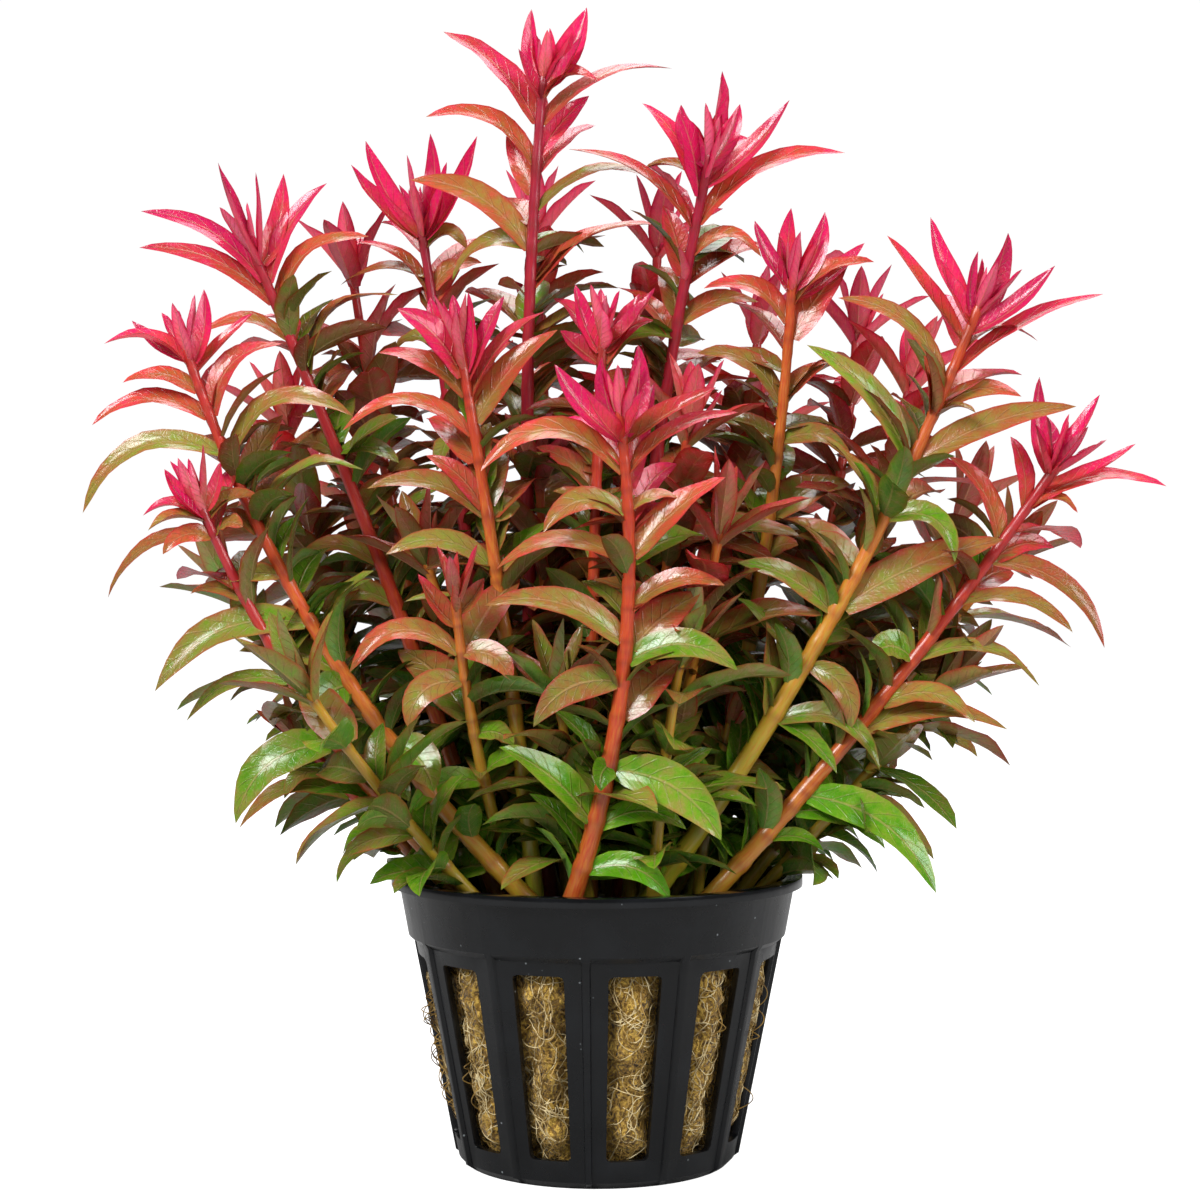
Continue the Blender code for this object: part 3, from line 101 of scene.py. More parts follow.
# Leaves that the front view tells apart, by cutting, in millimetres and degrees: the height they grow at,
# their tip from there (x, y, z), their width, how far their face is turned to the front, and their arch
PLACED: dict[str, tuple[tuple[float, ...], ...]] = {
    "stem_01": (
        (56, 5.5, -5, -5.5, 4.2, 70, 0.25), (64, -5, -4, -6, 4.0, 60, 0.35),
        (66, -13.5, 4, 2, 3.4, 35, 0.2), (72, -19.5, -3, -9, 3.6, 60, 0.35),
        (78, -6.5, -3, -1, 2.4, 50, 0.2), (83.5, -6.5, 2, 2.5, 2.2, 30, 0.3),
        (83.5, 13.5, -2, 8, 4.0, 30, 0.55), (88.5, -3.5, -4, -2.5, 1.8, 40, 0.4),
        (89, 5, 3, 10, 2.6, 60, 0.15), (93, 16.5, -2, 5.5, 3.2, 35, 0.6), (94, -18.5, 0, -8, 2.8, 45, 0.5),
        (98.5, -15.5, 0, -1, 2.6, 40, 0.4), (98.5, 9, 3, 10, 2.8, 45, 0.45),
        (102, -10, -1, 1, 2.4, 45, 0.35), (104.5, 7.5, 2, 8, 1.8, 20, 0.2),
        (105.5, -11, -2, 2.5, 2.2, 40, 0.4), (105.5, 1.5, 1, 10, 2.2, 70, 0.05),
        (106, -8, 2, 5.5, 2.0, 50, 0.15), (106, -1.5, -2, 6.5, 1.6, 60, 0.1),
    ),
    "stem_02": (
        (74.5, -9.5, -3, -1.5, 2.8, 50, 0.45), (80, -11.5, -2, -1, 2.6, 40, 0.5),
        (94.5, -6, 3, 1, 2.6, 35, 0.4), (94.5, 8.5, -3, -1.5, 2.6, 45, 0.3),
        (105, 12.5, 0, 11, 3.6, 30, 0.55), (110, -13, 2, 0.5, 2.2, 30, 0.4),
        (110, -1, 3, 7.5, 2.6, 70, 0.1), (114.5, 12.5, 0, 9.5, 3.0, 35, 0.45),
        (115, -18.5, 0, 7.5, 2.4, 45, 0.25), (117.5, 8, 1, 14, 2.4, 50, 0.2),
        (118, -17, 0, 9.5, 2.2, 45, 0.25), (120, -5.5, -1, 14, 2.8, 60, 0.12),
        (120, 3, 2, 13, 2.4, 70, 0.08), (120.5, 0, -2, 12, 1.6, 60, 0.05),
    ),
    "stem_03": (
        (52, 6.5, -4, -3, 2.8, 50, 0.3), (56.5, -12.5, -2, -10.5, 4.0, 65, 0.4),
        (64, -9, 4, -2.5, 2.0, 30, 0.3), (64.5, -14, 2, -5.5, 2.0, 50, 0.35),
        (69, 3.5, 3, 0.5, 2.0, 40, 0.4), (75, -7.5, 3, 0.5, 2.0, 40, 0.3), (83, -14, 2, -8, 2.0, 45, 0.4),
        (83, -6, -3, -2.5, 2.0, 60, 0.4), (83, 4, -2, 1, 2.4, 40, 0.5), (85, -7, -3, -1.5, 2.0, 35, 0.3),
        (85, 7, 2, 2.5, 2.4, 30, 0.4), (85.5, -8, 0, 0, 2.0, 40, 0.4), (85.5, -4, -2, 4, 1.8, 50, 0.15),
        (86, -5, 0, 5.5, 1.8, 60, 0.1), (86, -1.5, -1, 6.5, 1.6, 60, 0.05), (86, 2, 1, 6.5, 1.8, 60, 0.1),
    ),
    "stem_04": (
        (42.5, -8, -1, -6, 2.2, 45, 0.4), (44, -6, 2, -4, 2.2, 30, 0.35),
        (48.5, -15, -2, -4.5, 2.4, 40, 0.45), (48.5, 2, 3, 0.5, 2.2, 40, 0.4),
        (51.5, -6, -2, -3.5, 2.2, 35, 0.5), (53, -8, 0, 2, 1.8, 50, 0.2), (53.5, -5, -2, 0, 1.8, 45, 0.2),
        (53.5, -3, 1, 3.5, 1.8, 60, 0.1),
    ),
    "stem_05": (
        (117, 17, 0, 8.5, 3.4, 35, 0.3), (122, -16.5, 0, 9.5, 3.2, 55, 0.3),
        (122.5, -11, 4, -4, 3.0, 40, 0.5), (123.5, 7, 3, -1.5, 1.8, 20, 0.4),
        (127.5, 17.5, -2, 3.5, 2.4, 40, 0.4), (129.5, -4, 3, 8.5, 2.4, 60, 0.1),
        (133.5, -15, 0, 6.5, 2.8, 45, 0.4), (135, 7, 3, 8.5, 2.2, 55, 0.1),
        (139, -13, 0, 12.5, 3.0, 50, 0.2), (139, 18, 0, 7.5, 3.0, 40, 0.3),
        (142.5, -3, -3, 6, 2.2, 60, 0.1), (142.5, 7.5, -2, 2, 2.4, 30, 0.5),
        (143, 5.5, -2, 7.5, 2.4, 60, 0.1), (144, -1.5, 2, 11, 2.2, 70, 0.05), (144, 1, 0, 8, 1.2, 60, 0),
        (144, 6, 1, 11, 3.2, 65, 0.1),
    ),
    "stem_06": (
        (110, -9.5, -2, -5, 2.8, 40, 0.5), (112, 11, 2, 3, 2.6, 45, 0.3), (117.5, -1, -3, 4, 1.8, 45, 0.1),
        (118, -3, 2, 10, 2.8, 55, 0.1), (121, 9.5, -1, -0.5, 2.6, 35, 0.6),
        (124.5, -17, 0, 10.5, 2.6, 40, 0.25), (125, 20, 0, 9.5, 2.8, 45, 0.3),
        (128.5, -3, -3, 10.5, 4.2, 70, 0.12), (129, -8, 2, 12.5, 2.2, 50, 0.2),
        (130, 11.5, 0, 11.5, 2.6, 50, 0.1), (130.5, -8, 4, 2.5, 1.8, 40, 0.3),
        (131, 2, -2, 6.5, 1.6, 60, 0.05), (132.5, -3.5, 1, 8.5, 2.4, 60, 0.1),
        (132.5, 2, 1, 13, 3.4, 70, 0.08), (132.5, 4.5, 3, 9, 2.0, 60, 0.05),
    ),
    "stem_07": (
        (97.5, -2, -2, -5, 2.6, 40, 0.4), (110.5, -6, 0, -1, 2.4, 40, 0.4),
        (117.5, -10, -1, 6.5, 2.4, 40, 0.3), (117.5, 7, 1, 4, 2.4, 40, 0.4),
        (119.5, -12.5, 2, -1, 2.2, 30, 0.3), (123.5, 6, -1, -0.5, 2.4, 35, 0.7),
        (124.5, -10, 0, 10.5, 2.6, 50, 0.2), (124.5, 7.5, 0, 14.5, 2.8, 60, 0.12),
        (125, -8, 1, 13.5, 2.6, 55, 0.12), (125, -2, -2, 11, 1.8, 65, 0.05),
        (125, 1, 1, 14.5, 2.4, 70, 0.06), (125, 3.5, -2, 10, 2.0, 60, 0.08),
    ),
    "stem_08": (
        (64, 5.5, 3, -2.5, 2.6, 45, 0.3), (71, -12.5, -3, 3.5, 2.4, 35, 0.3),
        (78.5, 4.5, 2, 1.5, 2.0, 40, 0.3), (79, -14, -2, 1.5, 2.6, 50, 0.4), (85, 4, 3, 2, 2.6, 45, 0.3),
        (85.5, -15.5, -1, 3.5, 2.6, 50, 0.35), (86.5, -8, 2, 7, 2.4, 50, 0.2),
        (96, -17, -1, 0.5, 2.4, 45, 0.5), (97.5, 11, -1, 12, 3.4, 65, 0.15),
        (101, -11.5, -1, 5.5, 2.6, 45, 0.3), (101, 10, 0, 11, 2.6, 35, 0.2), (103, 5, 0, 11, 2.2, 35, 0.05),
        (103.5, -8.5, -3, 8.5, 3.4, 65, 0.2), (104, -4.5, 1, 10, 2.6, 60, 0.08),
        (104, 0.5, 0, 10.5, 1.8, 60, 0.05), (104.5, -1, -1, 8.5, 2.0, 65, 0.05),
    ),
    "stem_09": (
        (41, 11, -3, -3.5, 2.8, 60, 0.4), (46.5, 11.5, -1, -0.5, 2.6, 55, 0.4),
        (47, -12, -4, 9.5, 3.8, 65, 0.15), (53.5, 14, -4, -8.5, 4.2, 70, 0.3),
        (54, -1, -3, -3, 2.6, 60, 0.4), (54.5, 4, 2, -2, 1.6, 50, 0.4), (60, 8, 2, 7, 3.6, 60, 0.1),
        (64.5, -11, -3, -5.5, 3.2, 65, 0.35), (67, 14, -3, -1, 3.2, 55, 0.4),
        (68, 9.5, 2, 7.5, 3.8, 60, 0.15), (69.5, -17.5, -3, 4.5, 3.2, 60, 0.3),
        (73.5, 12, -2, 3, 2.6, 50, 0.35), (79.5, -16.5, -1, -1, 2.6, 45, 0.4),
        (80, 12, 0, 10, 3.4, 60, 0.12), (85.5, -10.5, -3, -2.5, 2.8, 55, 0.5),
        (86, 6.5, 1, 1.5, 2.0, 25, 0.3), (88.5, 3.5, 3, 13.5, 2.2, 65, 0.08),
        (90.5, -18, -2, 0, 2.8, 45, 0.6), (90.5, 14, 0, 7.5, 2.2, 30, 0.25),
        (94, 11.5, -1, 7, 2.4, 45, 0.25), (94.5, -8.5, 0, 9.5, 2.8, 55, 0.12),
        (94.5, -4.5, -4, 5.5, 2.4, 65, 0.15), (95, -2.5, 1, 10, 2.0, 65, 0.05),
        (95, 2, 1, 11.5, 2.4, 70, 0.06), (95, 2.5, -3, 5.5, 2.0, 60, 0.1),
    ),
    "stem_10": (
        (74.5, -5, 3, -3.5, 2.8, 50, 0.3), (88, 7, 2, -2.5, 2.6, 45, 0.35), (89, -8, 1, 6, 2.6, 50, 0.25),
        (98, -7, 1, 1.5, 2.6, 45, 0.35), (98.5, 8, 2, 3, 2.8, 40, 0.3), (106, -5.5, 1, 4.5, 2.8, 55, 0.2),
        (106, 7, 2, 6, 2.6, 50, 0.3), (107.5, -3.5, 0, 9, 2.6, 60, 0.1), (107.5, 5, 1, 8, 2.6, 55, 0.1),
        (108, 0, -2, 5, 2.2, 65, 0.05), (108, 7, -1, 8, 2.4, 45, 0.1),
    ),
    "stem_11": (
        (80.5, 4.5, -1, 1.5, 2.4, 50, 0.4), (85.5, -6.5, 0, -2.5, 2.6, 45, 0.4),
        (96, 9.5, -1, -3, 2.8, 50, 0.45), (101, -11.5, -1, 6.5, 2.8, 45, 0.4),
        (102, 6, 2, 4.5, 2.2, 45, 0.2), (109.5, 8.5, 1, 11, 3.4, 60, 0.08),
        (111.5, -11.5, -1, 4.5, 2.6, 45, 0.45), (114, 11, -1, 5.5, 2.4, 35, 0.3),
        (114.5, 10, 2, 8, 2.4, 45, 0.15), (116, -5, -1, 9, 2.2, 50, 0.15), (116, 0, 1, 11, 2.2, 65, 0.05),
        (116, 1, -2, 7.5, 2.0, 65, 0.05), (116, 4.5, 1, 10.5, 2.2, 65, 0.08),
    ),
    "stem_12": (
        (59.5, -1, -2, 12.5, 3.8, 70, 0.08), (59.5, 8, -3, -7, 2.0, 40, 0.2),
        (59.5, 13.5, -3, -6.5, 2.6, 50, 0.5), (66.5, 5.5, -2, -8.5, 2.6, 60, 0.5),
        (73, -12.5, -2, 6.5, 3.0, 60, 0.2), (74, 21.5, 1, 8.5, 4.0, 60, 0.12),
        (85.5, -9.5, 0, 11, 2.6, 50, 0.2), (85.5, 8.5, -3, -6, 2.8, 50, 0.6),
        (92.5, -13.5, 0, 15, 3.2, 55, 0.2), (92.5, 21, -1, 7, 3.0, 60, 0.15),
        (98.5, -1.5, -2, 7.5, 2.8, 70, 0.1), (98.5, 5, -3, 0, 1.6, 30, 0.4),
        (99, 11.5, 2, 2, 2.2, 40, 0.35), (102.5, -14, 0, 11, 2.4, 45, 0.35),
        (104, 19.5, 0, 10, 2.2, 35, 0.15), (107, 10, 1, 1, 2.0, 20, 0.5), (108, -10, 0, 13.5, 2.2, 45, 0.2),
        (109, 11, -1, 8.5, 2.4, 50, 0.15), (110, -4.5, -3, 8, 2.6, 60, 0.1),
        (111, -5.5, 1, 13, 2.2, 60, 0.12), (111, 0.5, 0, 8.5, 1.2, 60, 0), (111, 4.5, 1, 11, 2.8, 65, 0.08),
    ),
    "stem_13": (
        (44.5, 7.5, 0, -2, 2.0, 40, 0.3), (48, 12.5, 2, -5.5, 2.8, 50, 0.3),
        (50, 16.5, -4, -12.5, 4.0, 65, 0.3), (58, 19.5, 0, 0, 3.0, 50, 0.3),
        (61.5, 12, -3, -2.5, 2.8, 50, 0.45), (67, -6, -3, 0, 3.4, 60, 0.5), (67.5, 16, 0, -4, 2.2, 45, 0.4),
        (70, 0.5, -2, 8.5, 3.4, 70, 0.05), (74.5, -4, -1, 6, 1.8, 40, 0.2),
        (74.5, 14.5, -2, -4, 2.2, 40, 0.35), (80, 9, 3, 1.5, 2.6, 50, 0.3),
        (80, 14.5, -2, -11.5, 2.6, 50, 0.35), (82, -7, 0, 11.5, 3.2, 45, 0.25),
        (86.5, -2, 0, 9.5, 2.2, 50, 0.2), (87, 6, -2, -1, 1.8, 30, 0.5), (87, 18, 0, 2.5, 2.2, 35, 0.3),
        (89.5, 12, -1, 5.5, 2.2, 35, 0.25), (91, -2.5, -3, 6.5, 2.2, 60, 0.15),
        (91, -1, 2, 13, 2.0, 55, 0.12), (91, 2.5, 0, 8, 1.8, 60, 0.05), (91, 6.5, 0, 10.5, 2.8, 65, 0.08),
    ),
    "stem_18": (
        (51.5, -9.5, -3, -4.5, 2.6, 55, 0.4), (57.5, 5, -1, -1.5, 2.6, 45, 0.4),
        (64.5, -7, -3, -6, 3.0, 65, 0.5), (68, -14, -2, -2.5, 2.4, 50, 0.6),
        (68, 6.5, -3, -3.5, 2.6, 60, 0.4), (71.5, -5, -1, 6.5, 2.4, 60, 0.12),
        (73, 3.5, 0, 4.5, 2.0, 55, 0.1), (73.5, 0, -2, 5, 1.8, 70, 0),
    ),
    "stem_20": (
        (54, 5, 0, 2, 2.0, 50, 0.3), (54.5, -5.5, -1, 1.5, 2.2, 45, 0.3), (56, -3, -1, 2, 1.6, 50, 0.1),
        (56, -1, -1, 3, 1.4, 60, 0),
    ),
}

# How green (0) or crimson (1) the leaves of each cutting are, at the wool and at its crown
LEAF_BLUSH: dict[str, tuple[float, float]] = {
    "stem_01": (0.3, 1.0), "stem_02": (0.34, 1.0), "stem_03": (0.28, 0.95), "stem_04": (0.14, 0.5),
    "stem_05": (0.46, 1.0), "stem_06": (0.46, 1.0), "stem_07": (0.42, 1.0), "stem_08": (0.36, 0.96),
    "stem_09": (0.5, 1.0), "stem_10": (0.36, 0.92), "stem_11": (0.3, 0.96), "stem_12": (0.34, 1.0),
    "stem_13": (0.36, 1.0), "stem_16": (0.3, 1.0), "stem_18": (0.3, 0.66), "stem_19": (0.2, 0.6),
    "stem_20": (0.1, 0.5),
}

# The same for the bark
BARK_BLUSH: dict[str, tuple[float, float]] = {
    "stem_01": (0.22, 0.76), "stem_02": (0.36, 0.94), "stem_03": (0.3, 0.9), "stem_04": (0.26, 0.8),
    "stem_05": (0.74, 0.98), "stem_06": (0.66, 1.0), "stem_07": (0.6, 1.0), "stem_08": (0.02, 0.7),
    "stem_09": (0.46, 0.66), "stem_10": (0.36, 0.76), "stem_11": (0.0, 0.56), "stem_12": (0.05, 0.6),
    "stem_13": (0.26, 0.86), "stem_14": (0.26, 0.9), "stem_18": (0.1, 0.45), "stem_19": (0.08, 0.45),
}


class Slot(Enum):
    """The record's material slots."""

    PLASTIC = "moulded_plastic"
    WOOL = "rock_wool"
    PLANT = "stem_and_leaf"


def linear(code: str) -> tuple[float, float, float, float]:
    """Turns an sRGB hex colour into linear values.

    Args:
        code: The colour as "#rrggbb".

    Returns:
        Red, green, blue and an alpha of one.
    """
    values = [int(code[i : i + 2], 16) / 255 for i in (1, 3, 5)]
    red, green, blue = (v / 12.92 if v <= 0.04045 else ((v + 0.055) / 1.055) ** 2.4 for v in values)
    return red, green, blue, 1.0


def add_node(tree: Any, kind: str, inputs: dict[Any, Any] | None = None, **settings: Any) -> Any:
    """Adds a node with its settings, its constants and its links.

    Args:
        tree: The node tree that it joins.
        kind: The node's type.
        inputs: For each input's name or number, an output socket to link or a constant.
        settings: The node's own properties.

    Returns:
        The node.
    """
    node = tree.nodes.new(kind)
    for name, value in settings.items():
        setattr(node, name, value)
    for key, value in (inputs or {}).items():
        if isinstance(value, bpy.types.NodeSocket):
            tree.links.new(value, node.inputs[key])
        else:
            node.inputs[key].default_value = value
    return node


def fill_ramp(node: Any, stops: tuple[tuple[float, str], ...]) -> None:
    """Gives a colour ramp its stops, each a place and an sRGB hex colour."""
    ramp = node.color_ramp
    while len(ramp.elements) > 1:
        ramp.elements.remove(ramp.elements[-1])
    ramp.elements[0].position = stops[0][0]
    ramp.elements[0].color = linear(stops[0][1])
    for place, code in stops[1:]:
        ramp.elements.new(place).color = linear(code)


def new_material(name: str) -> tuple[Any, Any, Any]:
    """Makes a material with nothing but its output.

    Args:
        name: The material's name.

    Returns:
        The material, its node tree and the output node.
    """
    made = bpy.data.materials.new(name)
    made.use_nodes = True
    tree = made.node_tree
    tree.nodes.clear()
    return made, tree, add_node(tree, "ShaderNodeOutputMaterial")


def read_attribute(tree: Any, name: str, output: str = "Fac") -> Any:
    """Reads one of a mesh's own attributes in a material."""
    return add_node(tree, "ShaderNodeAttribute", attribute_name=name).outputs[output]


@dataclass(frozen=True)
class RotalaLeaf:
    """Living leaf: a thin waxy blade that light shines through, green in the shade and pink at the tip.

    The wax gives it sharp small highlights over a vein pattern that is slightly pressed in, its red comes in
    blotches and gathers along the margin, and its underside is a little paler.
    """

    name: str = "rotala leaf, waxy living blade"
    stops: tuple[tuple[float, str], ...] = (
        (0.0, "#579a10"),
        (0.12, "#76a41e"),
        (0.24, "#94963a"),
        (0.36, "#a6803a"),
        (0.49, "#b46434"),
        (0.62, "#cc4e38"),
        (0.75, "#dd3e4e"),
        (0.88, "#e62c62"),
        (1.0, "#e01668"),
    )
    rib: str = "#e0b07c"
    margin: str = "#b8242f"
    roughness: float = 0.22
    ior: float = 1.45
    light_through: float = 0.32
    vein_pairs: float = 8.0
    vein_height: float = 0.1 * MM
    blotch_size: float = 1.7 * MM
    patch_size: float = 5.5 * MM
    net_size: float = 0.55 * MM
    grain_size: float = 0.3 * MM

    def _vein_mask(self, tree: Any, along: Any, across: Any) -> tuple[Any, Any]:
        """Draws the midrib and the side veins that leave it in pairs.

        Args:
            tree: The material's node tree.
            along: Runs from 0 at the leaf's base to 1 at its tip.
            across: The distance from the midrib, 1 at the margin.

        Returns:
            The midrib's and the side veins' strength.
        """
        rib = add_node(
            tree, "ShaderNodeMapRange", {"Value": across, "From Min": 0.02, "From Max": 0.11,
                                         "To Min": 1.0, "To Max": 0.0}, interpolation_type="SMOOTHSTEP"
        ).outputs[0]
        slant = add_node(tree, "ShaderNodeMath", {0: across, 1: -0.19}, operation="MULTIPLY").outputs[0]
        course = add_node(tree, "ShaderNodeMath", {0: along, 1: slant}, operation="ADD").outputs[0]
        phase = add_node(
            tree, "ShaderNodeMath", {0: course, 1: self.vein_pairs}, operation="MULTIPLY").outputs[0]
        saw = add_node(tree, "ShaderNodeMath", {0: phase, 1: 0.5}, operation="PINGPONG").outputs[0]
        side = add_node(
            tree, "ShaderNodeMapRange", {"Value": saw, "From Min": 0.0, "From Max": 0.1,
                                         "To Min": 1.0, "To Max": 0.0}, interpolation_type="SMOOTHSTEP"
        ).outputs[0]
        fade = add_node(
            tree, "ShaderNodeMapRange", {"Value": across, "From Min": 0.55, "From Max": 0.95,
                                         "To Min": 1.0, "To Max": 0.0}).outputs[0]
        side = add_node(tree, "ShaderNodeMath", {0: side, 1: fade}, operation="MULTIPLY").outputs[0]
        return rib, side

    def _cloud(self, tree: Any, where: Any, size: float, reach: float) -> Any:
        """Makes soft random patches.

        Args:
            tree: The material's node tree.
            where: The coordinates.
            size: The patches' size.
            reach: The value that they swing to on both sides of nought.

        Returns:
            The value's socket.
        """
        noise_value = add_node(
            tree, "ShaderNodeTexNoise",
            {"Vector": where, "Scale": 1 / size, "Detail": 4.0, "Roughness": 0.62}).outputs[0]
        return add_node(
            tree, "ShaderNodeMapRange", {"Value": noise_value, "From Min": 0.32, "From Max": 0.68,
                                         "To Min": -reach, "To Max": reach}).outputs[0]

    def _tint(self, tree: Any, where: Any, across: Any, under: Any) -> Any:
        """Mixes the blade's own colour before its veins.

        Args:
            tree: The material's node tree.
            where: The object's coordinates.
            across: The distance from the midrib, 1 at the margin.
            under: 1 on the underside.

        Returns:
            The colour's socket.
        """
        blush = read_attribute(tree, "blush")
        edge = add_node(tree, "ShaderNodeMath", {0: across, 1: 3.0}, operation="POWER").outputs[0]
        redder = add_node(
            tree, "ShaderNodeMath", {0: edge, 1: 0.1, 2: blush}, operation="MULTIPLY_ADD").outputs[0]
        for size, reach in ((self.blotch_size, 0.1), (self.patch_size, 0.1)):
            cloud = self._cloud(tree, where, size, reach)
            redder = add_node(tree, "ShaderNodeMath", {0: redder, 1: cloud}, operation="ADD").outputs[0]
        ramp = add_node(tree, "ShaderNodeValToRGB", {0: redder})
        fill_ramp(ramp, self.stops)
        # The tone attribute holds each leaf's random tone, darkened as painted shade for the leaves inside the bunch.
        tone = add_node(
            tree, "ShaderNodeMapRange", {"Value": read_attribute(tree, "tone"), "To Min": 0.46,
                                         "To Max": 1.1}).outputs[0]
        grain = self._cloud(tree, where, self.grain_size, 0.06)
        tone = add_node(tree, "ShaderNodeMath", {0: tone, 1: grain}, operation="ADD").outputs[0]
        shade = add_node(
            tree, "ShaderNodeHueSaturation", {"Color": ramp.outputs[0], "Value": tone}).outputs[0]
        pale = add_node(
            tree, "ShaderNodeHueSaturation", {"Color": shade, "Saturation": 0.86, "Value": 1.1}).outputs[0]
        face = add_node(
            tree, "ShaderNodeMix", {"Factor": under, 6: shade, 7: pale}, data_type="RGBA").outputs[2]
        rim = add_node(
            tree, "ShaderNodeMapRange", {"Value": across, "From Min": 0.78, "From Max": 1.0},
            interpolation_type="SMOOTHSTEP").outputs[0]
        strength = add_node(
            tree, "ShaderNodeMapRange", {"Value": blush, "From Min": 0.04, "From Max": 0.34,
                                         "To Min": 0.0, "To Max": 0.6}).outputs[0]
        rim = add_node(tree, "ShaderNodeMath", {0: rim, 1: strength}, operation="MULTIPLY").outputs[0]
        return add_node(
            tree, "ShaderNodeMix", {"Factor": rim, 6: face, 7: linear(self.margin)}, data_type="RGBA",
        ).outputs[2]

    def make(self) -> Any:
        """Builds the material.

        Returns:
            The material.
        """
        made, tree, output = new_material(self.name)
        place = add_node(
            tree, "ShaderNodeSeparateXYZ", {0: read_attribute(tree, "blade", "Vector")}).outputs
        across = add_node(tree, "ShaderNodeMath", {0: place[1]}, operation="ABSOLUTE").outputs[0]
        rib, side = self._vein_mask(tree, place[0], across)
        where = add_node(tree, "ShaderNodeTexCoord").outputs["Object"]
        blade = self._tint(tree, where, across, place[2])
        cells = add_node(
            tree, "ShaderNodeTexVoronoi", {"Vector": where, "Scale": 1 / self.net_size},
            feature="DISTANCE_TO_EDGE").outputs[0]
        net = add_node(
            tree, "ShaderNodeMapRange", {"Value": cells, "From Min": 0.0, "From Max": 0.12,
                                         "To Min": 1.0, "To Max": 0.0}).outputs[0]
        lines = add_node(tree, "ShaderNodeMath", {0: net, 1: 0.07}, operation="MULTIPLY").outputs[0]
        lines = add_node(tree, "ShaderNodeMath", {0: side, 1: 0.15, 2: lines}, operation="MULTIPLY_ADD").outputs[0]
        lines = add_node(tree, "ShaderNodeMath", {0: rib, 1: 0.3, 2: lines}, operation="MULTIPLY_ADD").outputs[0]
        colour = add_node(
            tree, "ShaderNodeMix", {"Factor": lines, 6: blade, 7: linear(self.rib)}, data_type="RGBA",
        ).outputs[2]
        relief = add_node(tree, "ShaderNodeMath", {0: net, 1: 0.12, 2: side}, operation="MULTIPLY_ADD").outputs[0]
        relief = add_node(
            tree, "ShaderNodeMath", {0: rib, 1: 1.4, 2: relief}, operation="MULTIPLY_ADD").outputs[0]
        bump = add_node(
            tree, "ShaderNodeBump",
            {"Height": relief, "Distance": self.vein_height, "Strength": 0.85}, invert=True).outputs[0]
        dull = self._cloud(tree, where, self.blotch_size, 0.09)
        rough = add_node(tree, "ShaderNodeMath", {0: dull, 1: self.roughness}, operation="ADD").outputs[0]
        wax = add_node(
            tree, "ShaderNodeBsdfPrincipled",
            {"Base Color": colour, "Roughness": rough, "IOR": self.ior, "Normal": bump,
             "Coat Weight": 0.45, "Coat Roughness": 0.12})
        glow_colour = add_node(
            tree, "ShaderNodeHueSaturation", {"Color": colour, "Saturation": 1.12, "Value": 1.2}).outputs[0]
        glow = add_node(tree, "ShaderNodeBsdfTranslucent", {"Color": glow_colour})
        both = add_node(
            tree, "ShaderNodeMixShader", {0: self.light_through, 1: wax.outputs[0], 2: glow.outputs[0]})
        tree.links.new(both.outputs[0], output.inputs[0])
        return made


@dataclass(frozen=True)
class RotalaStem:
    """Living stem: smooth, fleshy and finely grooved along its length, with pale scars at the nodes."""

    name: str = "rotala stem, grooved living bark"
    stops: tuple[tuple[float, str], ...] = (
        (0.0, "#a4aa2a"),
        (0.18, "#c2a22e"),
        (0.36, "#cf7e2c"),
        (0.54, "#c44c22"),
        (0.72, "#b62b26"),
        (0.88, "#a81c2c"),
        (1.0, "#981434"),
    )
    scar: str = "#6e2418"
    roughness: float = 0.3
    groove_depth: float = 0.1 * MM
    grooves_round: float = 5.0

    def make(self) -> Any:
        """Builds the material.

        Returns:
            The material.
        """
        made, tree, output = new_material(self.name)
        where = read_attribute(tree, "bark", "Vector")
        stretched = add_node(
            tree, "ShaderNodeMapping", {"Vector": where, "Scale": (self.grooves_round, self.grooves_round, 0.55)},
        ).outputs[0]
        grooves = add_node(
            tree, "ShaderNodeTexNoise", {"Vector": stretched, "Scale": 1.0, "Detail": 3.0}).outputs[0]
        drift = add_node(
            tree, "ShaderNodeMapRange", {"Value": grooves, "From Min": 0.3, "From Max": 0.7,
                                         "To Min": -0.09, "To Max": 0.09}).outputs[0]
        redder = add_node(
            tree, "ShaderNodeMath", {0: read_attribute(tree, "blush"), 1: drift}, operation="ADD").outputs[0]
        ramp = add_node(tree, "ShaderNodeValToRGB", {0: redder})
        fill_ramp(ramp, self.stops)
        scar = read_attribute(tree, "scar")
        # The bark's tone attribute is painted shade: it darkens the bark towards the wool, deep in the pot.
        shaded = add_node(
            tree, "ShaderNodeHueSaturation",
            {"Color": ramp.outputs[0], "Value": read_attribute(tree, "tone")}).outputs[0]
        colour = add_node(
            tree, "ShaderNodeMix", {"Factor": scar, 6: shaded, 7: linear(self.scar)},
            data_type="RGBA").outputs[2]
        bump = add_node(
            tree, "ShaderNodeBump",
            {"Height": grooves, "Distance": self.groove_depth, "Strength": 0.7}).outputs[0]
        skin = add_node(
            tree, "ShaderNodeBsdfPrincipled",
            {"Base Color": colour, "Roughness": self.roughness, "IOR": 1.42, "Normal": bump,
             "Coat Weight": 0.35, "Coat Roughness": 0.15, "Subsurface Weight": 0.12, "Subsurface Radius": (1.0, 0.4, 0.2), "Subsurface Scale": 0.6 * MM})
        tree.links.new(skin.outputs[0], output.inputs[0])
        return made


